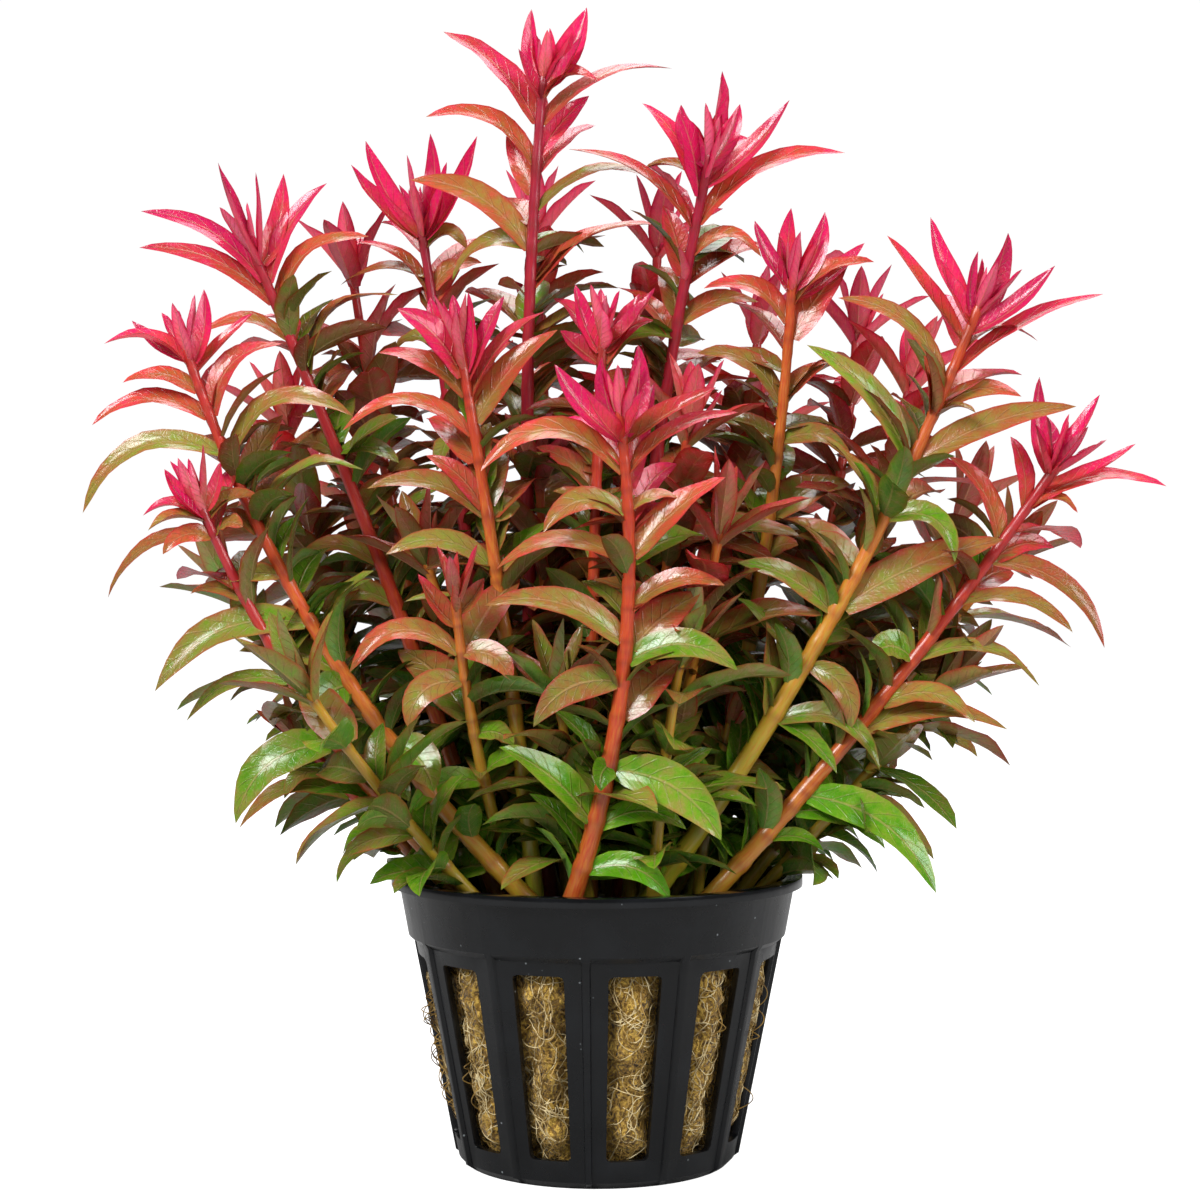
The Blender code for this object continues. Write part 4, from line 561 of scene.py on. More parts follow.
@dataclass(frozen=True)
class MouldedPolypropylene:
    """Injection-moulded black polypropylene: a blue-black satin skin, shinier on the lip, with specks."""

    name: str = "black polypropylene, injection moulded"
    base: str = "#0a0b0d"
    worn: str = "#111316"
    speck: str = "#aeb6ba"
    roughness: float = 0.24
    orange_peel: float = 1.1 * MM
    speck_spacing: float = 1.7 * MM
    lip_height: float = 36.6 * MM

    def make(self) -> Any:
        """Builds the material.

        Returns:
            The material.
        """
        made, tree, output = new_material(self.name)
        where = add_node(tree, "ShaderNodeTexCoord").outputs["Object"]
        height = add_node(tree, "ShaderNodeSeparateXYZ", {0: where}).outputs[2]
        cloud = add_node(
            tree, "ShaderNodeTexNoise", {"Vector": where, "Scale": 1 / (6 * MM), "Detail": 5.0}).outputs[0]
        peel = add_node(
            tree, "ShaderNodeTexNoise", {"Vector": where, "Scale": 1 / self.orange_peel, "Detail": 2.0},
        ).outputs[0]
        cells = add_node(
            tree, "ShaderNodeTexVoronoi", {"Vector": where, "Scale": 1 / self.speck_spacing, "Randomness": 1.0})
        dot = add_node(
            tree, "ShaderNodeMapRange", {"Value": cells.outputs["Distance"], "From Min": 0.04,
                                         "From Max": 0.1, "To Min": 1.0, "To Max": 0.0}).outputs[0]
        some = add_node(
            tree, "ShaderNodeMath", {0: add_node(tree, "ShaderNodeSeparateXYZ", {
                0: cells.outputs["Color"]}).outputs[0], 1: 0.72}, operation="GREATER_THAN").outputs[0]
        dot = add_node(tree, "ShaderNodeMath", {0: dot, 1: some}, operation="MULTIPLY").outputs[0]
        dot = add_node(tree, "ShaderNodeMath", {0: dot, 1: 0.5}, operation="MULTIPLY").outputs[0]
        worn = add_node(
            tree, "ShaderNodeMapRange", {"Value": cloud, "From Min": 0.42, "From Max": 0.72}).outputs[0]
        skin = add_node(
            tree, "ShaderNodeMix", {"Factor": worn, 6: linear(self.base), 7: linear(self.worn)},
            data_type="RGBA").outputs[2]
        colour = add_node(
            tree, "ShaderNodeMix", {"Factor": dot, 6: skin, 7: linear(self.speck)}, data_type="RGBA",
        ).outputs[2]
        lip = add_node(
            tree, "ShaderNodeMath", {0: height, 1: self.lip_height}, operation="GREATER_THAN").outputs[0]
        rough = add_node(
            tree, "ShaderNodeMapRange", {"Value": cloud, "To Min": self.roughness - 0.07,
                                         "To Max": self.roughness + 0.14}).outputs[0]
        rough = add_node(
            tree, "ShaderNodeMath", {0: lip, 1: -0.12, 2: rough}, operation="MULTIPLY_ADD").outputs[0]
        bump = add_node(
            tree, "ShaderNodeBump", {"Height": peel, "Distance": 0.04 * MM, "Strength": 0.5}).outputs[0]
        plastic = add_node(
            tree, "ShaderNodeBsdfPrincipled",
            {"Base Color": colour, "Roughness": rough, "IOR": 1.49, "Normal": bump,
             "Specular IOR Level": 0.38})
        tree.links.new(plastic.outputs[0], output.inputs[0])
        return made


@dataclass(frozen=True)
class MineralWool:
    """Spun mineral wool: a golden felt of fibres with a little sheen, its dark colour partly painted shade in its
    hollows, darkened towards its top by painted shade under the collar.
    """

    name: str = "rock wool, spun mineral fibre"
    # The felt's dark fibres, which also serve as painted shade in the felt's hollows.
    dark_felt_and_hollow_shade: str = "#241a07"
    middle: str = "#97701c"
    light: str = "#e0b850"
    strand: float = 0.5 * MM

    def make(self) -> Any:
        """Builds the material.

        Returns:
            The material.
        """
        made, tree, output = new_material(self.name)
        where = add_node(tree, "ShaderNodeTexCoord").outputs["Object"]
        height = add_node(tree, "ShaderNodeSeparateXYZ", {0: where}).outputs[2]
        tangle = add_node(
            tree, "ShaderNodeTexNoise",
            {"Vector": where, "Scale": 1 / (2.4 * MM), "Detail": 6.0, "Roughness": 0.68, "Distortion": 2.2},
        ).outputs[0]
        threads = add_node(
            tree, "ShaderNodeTexWave",
            {"Vector": where, "Scale": 0.12 / self.strand, "Distortion": 16.0, "Detail": 3.0,
             "Detail Scale": 2.4}).outputs["Fac"]
        both = add_node(
            tree, "ShaderNodeMath", {0: threads, 1: 0.32, 2: tangle}, operation="MULTIPLY_ADD").outputs[0]
        # The ramp's dark end lies where the relief below is low: the felt's dark fibres and painted shade in its
        # hollows.
        ramp = add_node(tree, "ShaderNodeValToRGB", {0: both})
        fill_ramp(ramp, ((0.38, self.dark_felt_and_hollow_shade), (0.6, self.middle), (0.88, self.light)))
        # Painted shade: the felt darkens towards its top, which lies under the pot's collar.
        painted_shade_at_top = add_node(
            tree, "ShaderNodeMapRange", {"Value": height, "From Min": 27 * MM, "From Max": 32 * MM,
                                         "To Min": 1.0, "To Max": 0.3}).outputs[0]
        colour = add_node(
            tree, "ShaderNodeHueSaturation", {"Color": ramp.outputs[0], "Value": painted_shade_at_top}).outputs[0]
        bump = add_node(
            tree, "ShaderNodeBump", {"Height": both, "Distance": 0.7 * MM, "Strength": 0.9}).outputs[0]
        felt = add_node(
            tree, "ShaderNodeBsdfPrincipled",
            {"Base Color": colour, "Roughness": 0.55, "Normal": bump, "Specular IOR Level": 0.4,
             "Sheen Weight": 0.2})
        tree.links.new(felt.outputs[0], output.inputs[0])
        return made


@dataclass(frozen=True)
class FineStrand:
    """A single root or fibre: smooth and slightly moist, lighter and darker along its length."""

    name: str
    dark: str
    light: str
    roughness: float = 0.5
    patch: float = 3.0 * MM

    def make(self) -> Any:
        """Builds the material.

        Returns:
            The material.
        """
        made, tree, output = new_material(self.name)
        where = add_node(tree, "ShaderNodeTexCoord").outputs["Object"]
        cloud = add_node(
            tree, "ShaderNodeTexNoise", {"Vector": where, "Scale": 1 / self.patch, "Detail": 3.0}).outputs[0]
        ramp = add_node(tree, "ShaderNodeValToRGB", {0: cloud})
        fill_ramp(ramp, ((0.32, self.dark), (0.62, self.light)))
        bump = add_node(
            tree, "ShaderNodeBump", {"Height": cloud, "Distance": 0.05 * MM, "Strength": 0.4}).outputs[0]
        strand = add_node(
            tree, "ShaderNodeBsdfPrincipled",
            {"Base Color": ramp.outputs[0], "Roughness": self.roughness, "Normal": bump})
        tree.links.new(strand.outputs[0], output.inputs[0])
        return made


@dataclass(frozen=True)
class StudioPaper:
    """Seamless white paper: flat and matt, so that the floor melts into the light behind it."""

    name: str = "seamless studio paper"
    evened: float = 0.95

    def make(self) -> Any:
        """Builds the material.

        Returns:
            The material.
        """
        made, tree, output = new_material(self.name)
        where = add_node(tree, "ShaderNodeTexCoord").outputs["Object"]
        grain = add_node(
            tree, "ShaderNodeTexNoise", {"Vector": where, "Scale": 1 / (0.8 * MM), "Detail": 2.0}).outputs[0]
        shade = add_node(tree, "ShaderNodeMapRange", {"Value": grain, "To Min": 0.3, "To Max": 0.34}).outputs[0]
        seen = add_node(tree, "ShaderNodeLightPath").outputs["Is Camera Ray"]
        glow = add_node(tree, "ShaderNodeMath", {0: seen, 1: self.evened}, operation="MULTIPLY").outputs[0]
        paper = add_node(
            tree, "ShaderNodeBsdfPrincipled",
            {"Base Color": shade, "Roughness": 0.9, "Emission Color": (1.0, 1.0, 1.0, 1.0),
             "Emission Strength": glow})
        tree.links.new(paper.outputs[0], output.inputs[0])
        return made


@dataclass
class Finishes:
    """Every finish of the object, made once."""

    leaf: Any = field(default_factory=lambda: RotalaLeaf().make())
    stem: Any = field(default_factory=lambda: RotalaStem().make())
    plastic: Any = field(default_factory=lambda: MouldedPolypropylene().make())
    wool: Any = field(default_factory=lambda: MineralWool().make())
    root: Any = field(default_factory=lambda: FineStrand("live root, moist and cream", "#a2854a", "#e2d0a0").make())
    fibre: Any = field(default_factory=lambda: FineStrand("mineral fibre, golden", "#5c4214", "#b48f45", 0.6).make())


def place_piece(name: str, mesh: Any, replaced: tuple[str, ...] = ()) -> Any:
    """Puts a finished mesh in the scene as a piece that stays with the plant.

    Args:
        name: The piece's name.
        mesh: Its mesh, already in its place.
        replaced: The solids that it stands for.

    Returns:
        The object.
    """
    piece = bpy.data.objects.new(name, mesh)
    bpy.context.scene.collection.objects.link(piece)
    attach(piece, "root")
    if replaced:
        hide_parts(*replaced)
    LOG.info("%s: %d faces", name, len(mesh.polygons))
    return piece


def smooth_mesh(mesh: Any, sharp_above: float = math.radians(40)) -> None:
    """Shades a mesh smooth, except over edges that are sharper than an angle."""
    mesh.polygons.foreach_set("use_smooth", np.ones(len(mesh.polygons), dtype=bool))
    mesh.set_sharp_from_angle(angle=sharp_above)
    mesh.update()


def baked_mesh(carrier: Any, name: str) -> Any:
    """Turns what an object's modifiers make into a plain mesh and deletes the object.

    Args:
        carrier: The object with its modifiers.
        name: The new mesh's name.

    Returns:
        The mesh.
    """
    graph = bpy.context.evaluated_depsgraph_get()
    mesh = bpy.data.meshes.new_from_object(carrier.evaluated_get(graph))
    mesh.name = name
    carrier.modifiers.clear()
    bpy.data.objects.remove(carrier, do_unlink=True)
    return mesh


@dataclass
class NetPot:
    """The moulded basket: lip, collar, ribbed wall with twelve slots and a base with drain slots."""

    finishes: Finishes
    rim_radius: float = 27.5 * MM
    height: float = 38.0 * MM
    lip: float = 1.2 * MM
    lip_inner_radius: float = 25.4 * MM
    collar_top_radius: float = 26.4 * MM
    collar_foot_radius: float = 25.2 * MM
    collar_foot_height: float = 30.3 * MM
    wall_top_radius: float = 24.2 * MM
    wall_top_height: float = 29.5 * MM
    wall_foot_radius: float = 18.5 * MM
    base_radius: float = 17.6 * MM
    chamfer: float = 0.9 * MM
    base_thickness: float = 1.4 * MM
    wall: float = 1.0 * MM
    slots: int = 12
    slot_bottom: float = 3.7 * MM
    slot_top: float = 27.8 * MM
    slot_angle: float = math.radians(16.5)
    first_slot: float = math.radians(-108.2)
    corner: float = 0.6 * MM
    rib_width: float = 0.8 * MM
    rib_height: float = 0.5 * MM
    drain_inner: float = 7.0 * MM
    drain_outer: float = 14.5 * MM
    drain_width: float = 2.6 * MM

    def wall_radius(self, height: float) -> float:
        """The outer radius of the tapered wall at a height."""
        share = (height - self.chamfer) / (self.wall_top_height - self.chamfer)
        return self.wall_foot_radius + share * (self.wall_top_radius - self.wall_foot_radius)

    def inner_radius(self, height: float) -> float:
        """The inner radius of the wall at a height."""
        return min(self.wall_radius(height), self.wall_top_radius) - self.wall

    def openness(self, angle: float, height: float, margin: float = 0.45 * MM) -> float:
        """Tells how far inside an open slot a place lies.

        Args:
            angle: The angle round the pot.
            height: The height above the ground.
            margin: How far from the slot's sides nothing counts as open.

        Returns:
            1 in the middle of a slot, falling to 0 at its sides and ends and behind the wall.
        """
        pitch = 2 * math.pi / self.slots
        off = (angle - self.first_slot + pitch / 2) % pitch - pitch / 2
        half = self.slot_angle / 2 - margin / self.inner_radius(height)
        ends = min(height - self.slot_bottom, self.slot_top - height) - margin
        if abs(off) >= half or ends <= 0:
            return 0.0
        return (1 - (off / half) ** 2) * min(1.0, ends / (2.5 * MM))

    def _columns(self) -> list[tuple[float, bool, bool, int]]:
        """Lists the wall's upright lines.

        Returns:
            For each its angle, whether the stretch after it is open, whether it is on a rib, and which
            slot edge it is: -1 for the left one, 1 for the right one, 0 for neither.
        """
        pitch = 2 * math.pi / self.slots
        middle_radius = self.wall_radius(15 * MM)
        turn = self.corner / middle_radius
        rib = self.rib_width / 2 / middle_radius
        foot = rib * 1.35
        found = []
        for slot in range(self.slots):
            start = self.first_slot + slot * pitch - self.slot_angle / 2
            end = start + self.slot_angle
            centre = end + (pitch - self.slot_angle) / 2
            for share in range(5):
                angle = start + turn + (self.slot_angle - 2 * turn) * share / 4
                found.append((angle, True, False, 0))
            found.append((start, True, False, -1))
            found.append((end, False, False, 1))
            found += [(centre - foot, False, False, 0), (centre - rib, False, True, 0)]
            found += [(centre + rib, False, True, 0), (centre + foot, False, False, 0)]
        return sorted(found)

    def _profiles(self) -> tuple[list[tuple[float, float, bool, int]], list[tuple[float, float, bool, int]]]:
        """Lists the outer and the inner outline.

        Returns:
            For each ring its radius, height, whether ribs stand on it, and its slot edge: -1 bottom, 1 top.
        """
        low, high = self.slot_bottom, self.slot_top
        levels = [(low, -1), (low + self.corner, 0), (15 * MM, 0), (high - self.corner, 0), (high, 1)]
        outer = [(self.wall_foot_radius, self.chamfer, True, 0)]
        outer += [(self.wall_radius(z), z, True, edge) for z, edge in levels]
        outer += [
            (self.wall_top_radius, self.wall_top_height, True, 0),
            (self.collar_foot_radius, self.collar_foot_height, False, 0),
            (self.collar_top_radius, self.height - self.lip, False, 0),
            (self.rim_radius, self.height - self.lip, False, 0),
            (self.rim_radius, self.height, False, 0),
        ]
        inner = [(self.wall_foot_radius - self.wall, self.base_thickness, False, 0)]
        inner += [(self.wall_radius(z) - self.wall, z, False, edge) for z, edge in levels]
        inner += [
            (self.wall_top_radius - self.wall, self.collar_foot_height, False, 0),
            (self.collar_foot_radius - self.wall, self.collar_foot_height + self.wall, False, 0),
            (self.lip_inner_radius, self.height, False, 0),
        ]
        return outer, inner

    def _point(self, ring: tuple[float, float, bool, int], column: tuple[float, bool, bool, int]) -> Vector:
        """Places one vertex of the wall, with ribs raised and slot corners rounded.

        Args:
            ring: One entry of _profiles.
            column: One entry of _columns.

        Returns:
            The point.
        """
        radius, height, ribbed, level = ring
        angle, _, on_rib, edge = column
        if ribbed and on_rib:
            radius += self.rib_height
        if level and edge:
            inward = 0.3 * self.corner
            angle -= edge * inward / radius
            height -= level * inward
        return Vector((radius * math.cos(angle), radius * math.sin(angle), height))

    def _drain_cutter(self) -> Any:
        """Makes the bars that cut the drain slots.

        Returns:
            A hidden object.
        """
        bm = bmesh.new()
        middle = (self.drain_inner + self.drain_outer) / 2
        half = (self.drain_outer - self.drain_inner) / 2
        for slot in range(0, self.slots, 2):
            angle = self.first_slot + slot * 2 * math.pi / self.slots
            made = bmesh.ops.create_cube(bm, size=1.0)["verts"]
            for vert in made:
                x = middle + vert.co.x * 2 * half
                y = vert.co.y * self.drain_width
                z = vert.co.z * 4 * self.base_thickness
                vert.co = (
                    x * math.cos(angle) - y * math.sin(angle), x * math.sin(angle) + y * math.cos(angle), z)
        mesh = bpy.data.meshes.new("drain_cutter")
        bm.to_mesh(mesh)
        bm.free()
        cutter = bpy.data.objects.new("drain_cutter", mesh)
        bpy.context.scene.collection.objects.link(cutter)
        cutter.hide_render = True
        return cutter

    def build(self) -> Any:
        """Builds the basket.

        Returns:
            The piece.
        """
        columns = self._columns()
        outer, inner = self._profiles()
        rings = [(self.base_radius, 0.0, False, 0), *outer, *reversed(inner)]
        count = len(columns)
        bm = bmesh.new()
        verts = [[bm.verts.new(self._point(ring, column)) for column in columns] for ring in rings]
        open_cells = set()
        for index in range(len(rings) - 1):
            heights = (rings[index][1], rings[index + 1][1])
            inside = min(heights) >= self.slot_bottom - 1e-6 and max(heights) <= self.slot_top + 1e-6
            for i, (_, is_open, _, _) in enumerate(columns):
                if inside and is_open:
                    open_cells.add((index, i))
                    continue
                j = (i + 1) % count
                bm.faces.new((verts[index][i], verts[index][j], verts[index + 1][j], verts[index + 1][i]))
        last = len(rings) - 1
        for index, i in open_cells:
            if index > last / 2:
                continue
            mate = last - index
            j = (i + 1) % count
            if (index - 1, i) not in open_cells:
                bm.faces.new((verts[index][i], verts[index][j], verts[mate + 1][j], verts[mate + 1][i]))
            if (index + 1, i) not in open_cells:
                bm.faces.new((verts[index + 1][j], verts[index + 1][i], verts[mate][i], verts[mate][j]))
            if (index, (i - 1) % count) not in open_cells:
                bm.faces.new((verts[index][i], verts[mate + 1][i], verts[mate][i], verts[index + 1][i]))
            if (index, j) not in open_cells:
                bm.faces.new((verts[index][j], verts[index + 1][j], verts[mate][j], verts[mate + 1][j]))
        bm.faces.new(verts[-1])
        bm.faces.new(tuple(reversed(verts[0])))
        bmesh.ops.recalc_face_normals(bm, faces=bm.faces)
        mesh = bpy.data.meshes.new("net_pot_detail")
        bm.to_mesh(mesh)
        bm.free()
        carrier = bpy.data.objects.new("net_pot_detail", mesh)
        bpy.context.scene.collection.objects.link(carrier)
        cutter = self._drain_cutter()
        cut = carrier.modifiers.new("drain slots", "BOOLEAN")
        cut.operation = "DIFFERENCE"
        cut.solver = "EXACT"
        cut.object = cutter
        soft = carrier.modifiers.new("moulded edges", "BEVEL")
        soft.width = 0.14 * MM
        soft.segments = 2
        soft.limit_method = "ANGLE"
        soft.angle_limit = math.radians(38)
        mesh = baked_mesh(carrier, "net_pot_detail")
        bpy.data.objects.remove(cutter, do_unlink=True)
        mesh.materials.clear()
        mesh.materials.append(self.finishes.plastic)
        mesh.polygons.foreach_set("material_index", np.zeros(len(mesh.polygons), dtype=np.int32))
        smooth_mesh(mesh, math.radians(32))
        return place_piece("net_pot_detail", mesh, ("net_pot",))


@dataclass
class WoolPlug:
    """The block of rock wool: a lumpy felt that swells a little into each slot, with its loose fibres."""

    finishes: Finishes
    pot: NetPot
    bottom: float = 1.9 * MM
    top: float = 33.0 * MM
    behind_wall: float = 2.1 * MM
    swell: float = 1.6 * MM
    bulge: float = 0.9 * MM
    lump_size: float = 3.2 * MM
    lump_depth: float = 1.3 * MM
    columns: int = 180
    rings: int = 64
    fibre_count: int = 3600
    fibre_length: float = 5.5 * MM
    fibre_radius: float = 0.045 * MM

    def radius(self, angle: float, height: float) -> float:
        """The felt's radius at an angle and height.

        Args:
            angle: The angle round the pot.
            height: The height above the surface that the pot stands on.

        Returns:
            The radius in metres.
        """
        wall = self.pot.inner_radius(height)
        room = self.pot.openness(angle, height) * self.bulge
        pitch = 2 * math.pi / self.pot.slots
        off = (angle - self.pot.first_slot + pitch / 2) % pitch - pitch / 2
        swell = self.swell * math.cos(off / pitch * math.pi) ** 2
        spot = Vector((wall * math.cos(angle), wall * math.sin(angle), height)) / self.lump_size
        lump = noise.fractal(spot, 0.9, 2.0, 3) * self.lump_depth
        foot = max(0.0, 1 - (height - self.bottom) / (4 * MM)) * 1.2 * MM
        return min(wall - 0.25 * MM, wall - self.behind_wall + swell + lump - foot) + room

    def build(self) -> Any:
        """Builds the felt block.

        Returns:
            The piece.
        """
        bm = bmesh.new()
        loops = []
        for ring in range(self.rings):
            height = self.bottom + (self.top - self.bottom) * ring / (self.rings - 1)
            loop = []
            for column in range(self.columns):
                angle = column * 2 * math.pi / self.columns
                radius = self.radius(angle, height)
                loop.append(bm.verts.new((radius * math.cos(angle), radius * math.sin(angle), height)))
            loops.append(loop)
        for low, high in zip(loops, loops[1:]):
            for i in range(self.columns):
                j = (i + 1) % self.columns
                bm.faces.new((low[i], low[j], high[j], high[i]))
        for loop, facing in ((loops[0], -1), (loops[-1], 1)):
            previous = loop
            for share in (0.85, 0.65, 0.45, 0.25, 0.1):
                current = []
                for i, vert in enumerate(loop):
                    spot = Vector((vert.co.x * share, vert.co.y * share, vert.co.z))
                    drop = noise.noise(spot / self.lump_size) * 0.5 * MM
                    spot.z -= abs(drop) * facing
                    current.append(bm.verts.new(spot))
                for i in range(self.columns):
                    j = (i + 1) % self.columns
                    quad = (previous[i], previous[j], current[j], current[i])
                    bm.faces.new(quad if facing > 0 else tuple(reversed(quad)))
                previous = current
            bm.faces.new(previous if facing > 0 else tuple(reversed(previous)))
        bmesh.ops.recalc_face_normals(bm, faces=bm.faces)
        mesh = bpy.data.meshes.new("wool_felt")
        bm.to_mesh(mesh)
        bm.free()
        mesh.materials.append(self.finishes.wool)
        smooth_mesh(mesh, math.pi)
        felt = place_piece("wool_felt", mesh, ("rockwool_plug",))
        self._fibres(mesh)
        return felt

    def _fibre_tree(self) -> Any:
        """Builds the nodes that scatter short bent fibres over a surface.

        Returns:
            The node group.
        """
        tree = bpy.data.node_groups.new("scattered fibres", "GeometryNodeTree")
        face = tree.interface
        face.new_socket("Geometry", in_out="INPUT", socket_type="NodeSocketGeometry")
        for name in ("Count per area", "Length", "Radius"):
            face.new_socket(name, in_out="INPUT", socket_type="NodeSocketFloat")
        face.new_socket("Finish", in_out="INPUT", socket_type="NodeSocketMaterial")
        face.new_socket("Geometry", in_out="OUTPUT", socket_type="NodeSocketGeometry")
        given = add_node(tree, "NodeGroupInput").outputs
        points = add_node(
            tree, "GeometryNodeDistributePointsOnFaces",
            {"Mesh": given["Geometry"], "Density": given["Count per area"], "Seed": 11}).outputs
        half = add_node(tree, "ShaderNodeMath", {0: given["Length"], 1: 0.5}, operation="MULTIPLY").outputs[0]
        back = add_node(tree, "ShaderNodeMath", {0: given["Length"], 1: -0.5}, operation="MULTIPLY").outputs[0]
        bow = add_node(tree, "ShaderNodeMath", {0: given["Length"], 1: 0.34}, operation="MULTIPLY").outputs[0]
        start = add_node(tree, "ShaderNodeCombineXYZ", {0: back}).outputs[0]
        middle = add_node(tree, "ShaderNodeCombineXYZ", {1: bow, 2: given["Radius"]}).outputs[0]
        end = add_node(tree, "ShaderNodeCombineXYZ", {0: half}).outputs[0]
        arc = add_node(
            tree, "GeometryNodeCurveQuadraticBezier",
            {"Resolution": 7, "Start": start, "Middle": middle, "End": end}).outputs[0]
        spin = add_node(
            tree, "FunctionNodeRandomValue", {0: (0.0, 0.0, 0.0), 1: (0.0, 0.0, 6.283), "Seed": 3},
            data_type="FLOAT_VECTOR").outputs[0]
        size = add_node(
            tree, "FunctionNodeRandomValue", {2: 0.5, 3: 1.4, "Seed": 5}, data_type="FLOAT").outputs[1]
        placed = add_node(
            tree, "GeometryNodeInstanceOnPoints",
            {"Points": points["Points"], "Instance": arc, "Rotation": points["Rotation"], "Scale": size},
        ).outputs[0]
        turned = add_node(
            tree, "GeometryNodeRotateInstances", {"Instances": placed, "Rotation": spin}).outputs[0]
        loose = add_node(tree, "GeometryNodeRealizeInstances", {0: turned}).outputs[0]
        where = add_node(tree, "GeometryNodeInputPosition").outputs[0]
        wander = add_node(
            tree, "ShaderNodeTexNoise", {"Vector": where, "Scale": 1 / (1.6 * MM), "Detail": 1.0}).outputs[1]
        centred = add_node(
            tree, "ShaderNodeVectorMath", {0: wander, 1: (0.5, 0.5, 0.5)}, operation="SUBTRACT").outputs[0]
        shift = add_node(
            tree, "ShaderNodeVectorMath", {0: centred, "Scale": 1.7 * MM}, operation="SCALE").outputs[0]
        bent = add_node(tree, "GeometryNodeSetPosition", {"Geometry": loose, "Offset": shift}).outputs[0]
        ring = add_node(
            tree, "GeometryNodeCurvePrimitiveCircle", {"Resolution": 3, "Radius": given["Radius"]}).outputs[0]
        tubes = add_node(
            tree, "GeometryNodeCurveToMesh", {"Curve": bent, "Profile Curve": ring, "Fill Caps": True}).outputs[0]
        real = add_node(tree, "GeometryNodeRealizeInstances", {0: tubes}).outputs[0]
        dressed = add_node(
            tree, "GeometryNodeSetMaterial", {"Geometry": real, "Material": given["Finish"]}).outputs[0]
        add_node(tree, "NodeGroupOutput", {0: dressed})
        return tree

    def _fibres(self, felt: Any) -> None:
        """Scatters the loose fibres over the felt's side.

        Args:
            felt: The felt's mesh.
        """
        bm = bmesh.new()
        bm.from_mesh(felt)
        hidden = [f for f in bm.faces if abs(f.normal.z) > 0.75]
        bmesh.ops.delete(bm, geom=hidden, context="FACES")
        area = sum(face.calc_area() for face in bm.faces)
        mesh = bpy.data.meshes.new("fibre_bed")
        bm.to_mesh(mesh)
        bm.free()
        carrier = bpy.data.objects.new("fibre_bed", mesh)
        bpy.context.scene.collection.objects.link(carrier)
        mesh = grown_by_nodes(carrier, self._fibre_tree(), "wool_fibres", {
            "Count per area": self.fibre_count / area,
            "Length": self.fibre_length,
            "Radius": self.fibre_radius,
            "Finish": self.finishes.fibre,
        })
        keep_inside_wall(mesh, self.pot)
        smooth_mesh(mesh, math.pi)
        place_piece("wool_fibres", mesh)


def grown_by_nodes(carrier: Any, tree: Any, name: str, values: dict[str, Any]) -> Any:
    """Runs a node group on an object and returns what it makes as a plain mesh.

    Args:
        carrier: The object that carries the modifier, deleted afterwards.
        tree: The node group.
        name: The new mesh's name.
        values: The value of each of the group's named inputs.

    Returns:
        The mesh.
    """
    growth = carrier.modifiers.new("growth", "NODES")
    growth.node_group = tree
    for socket in tree.interface.items_tree:
        if socket.item_type == "SOCKET" and socket.in_out == "INPUT" and socket.name in values:
            growth[socket.identifier] = values[socket.name]
    return baked_mesh(carrier, name)


def keep_inside_wall(mesh: Any, pot: NetPot, gap: float = 0.12 * MM) -> None:
    """Pulls a mesh's points in so that none lies in the pot's wall.

    Args:
        mesh: The mesh to change.
        pot: The pot.
        gap: How far from the wall's inner side the points stay.
    """
    for vert in mesh.vertices:
        x, y, z = vert.co
        limit = pot.inner_radius(z) - gap + pot.openness(math.atan2(y, x), z) * pot.wall
        radius = math.hypot(x, y)
        if radius > limit:
            vert.co = (x * limit / radius, y * limit / radius, z)
        vert.co.z = min(max(vert.co.z, pot.base_thickness + gap), 33.4 * MM)


def strand_tree() -> Any:
    """Builds the nodes that turn lines into tapered round strands.

    Returns:
        The node group.
    """
    tree = bpy.data.node_groups.new("strands along lines", "GeometryNodeTree")
    face = tree.interface
    face.new_socket("Geometry", in_out="INPUT", socket_type="NodeSocketGeometry")
    face.new_socket("Radius", in_out="INPUT", socket_type="NodeSocketFloat")
    face.new_socket("Finish", in_out="INPUT", socket_type="NodeSocketMaterial")
    face.new_socket("Geometry", in_out="OUTPUT", socket_type="NodeSocketGeometry")
    given = add_node(tree, "NodeGroupInput").outputs
    curve = add_node(tree, "GeometryNodeMeshToCurve", {"Mesh": given["Geometry"]}).outputs[0]
    along = add_node(tree, "GeometryNodeSplineParameter").outputs[0]
    thin = add_node(
        tree, "ShaderNodeMapRange", {"Value": along, "To Min": 1.0, "To Max": 0.35}).outputs[0]
    tapered = add_node(
        tree, "GeometryNodeSetCurveRadius", {"Curve": curve, "Radius": thin}).outputs[0]
    ring = add_node(
        tree, "GeometryNodeCurvePrimitiveCircle", {"Resolution": 5, "Radius": given["Radius"]}).outputs[0]
    tubes = add_node(
        tree, "GeometryNodeCurveToMesh",
        {"Curve": tapered, "Profile Curve": ring, "Fill Caps": True}).outputs[0]
    real = add_node(tree, "GeometryNodeRealizeInstances", {0: tubes}).outputs[0]
    dressed = add_node(
        tree, "GeometryNodeSetMaterial", {"Geometry": real, "Material": given["Finish"]}).outputs[0]
    add_node(tree, "NodeGroupOutput", {0: dressed})
    return tree


def strands_along(lines: list[list[Vector]], name: str, radius: float, finish: Any) -> Any:
    """Turns lines of points into round strands.

    Args:
        lines: The points of each strand.
        name: The name of the mesh.
        radius: The strands' radius at their thick end.
        finish: Their material.

    Returns:
        The mesh.
    """
    verts = []
    edges = []
    for line in lines:
        first = len(verts)
        verts += [tuple(point) for point in line]
        edges += [(first + i, first + i + 1) for i in range(len(line) - 1)]
    mesh = bpy.data.meshes.new(name)
    mesh.from_pydata(verts, edges, [])
    carrier = bpy.data.objects.new(name, mesh)
    bpy.context.scene.collection.objects.link(carrier)
    return grown_by_nodes(carrier, strand_tree(), name, {"Radius": radius, "Finish": finish})


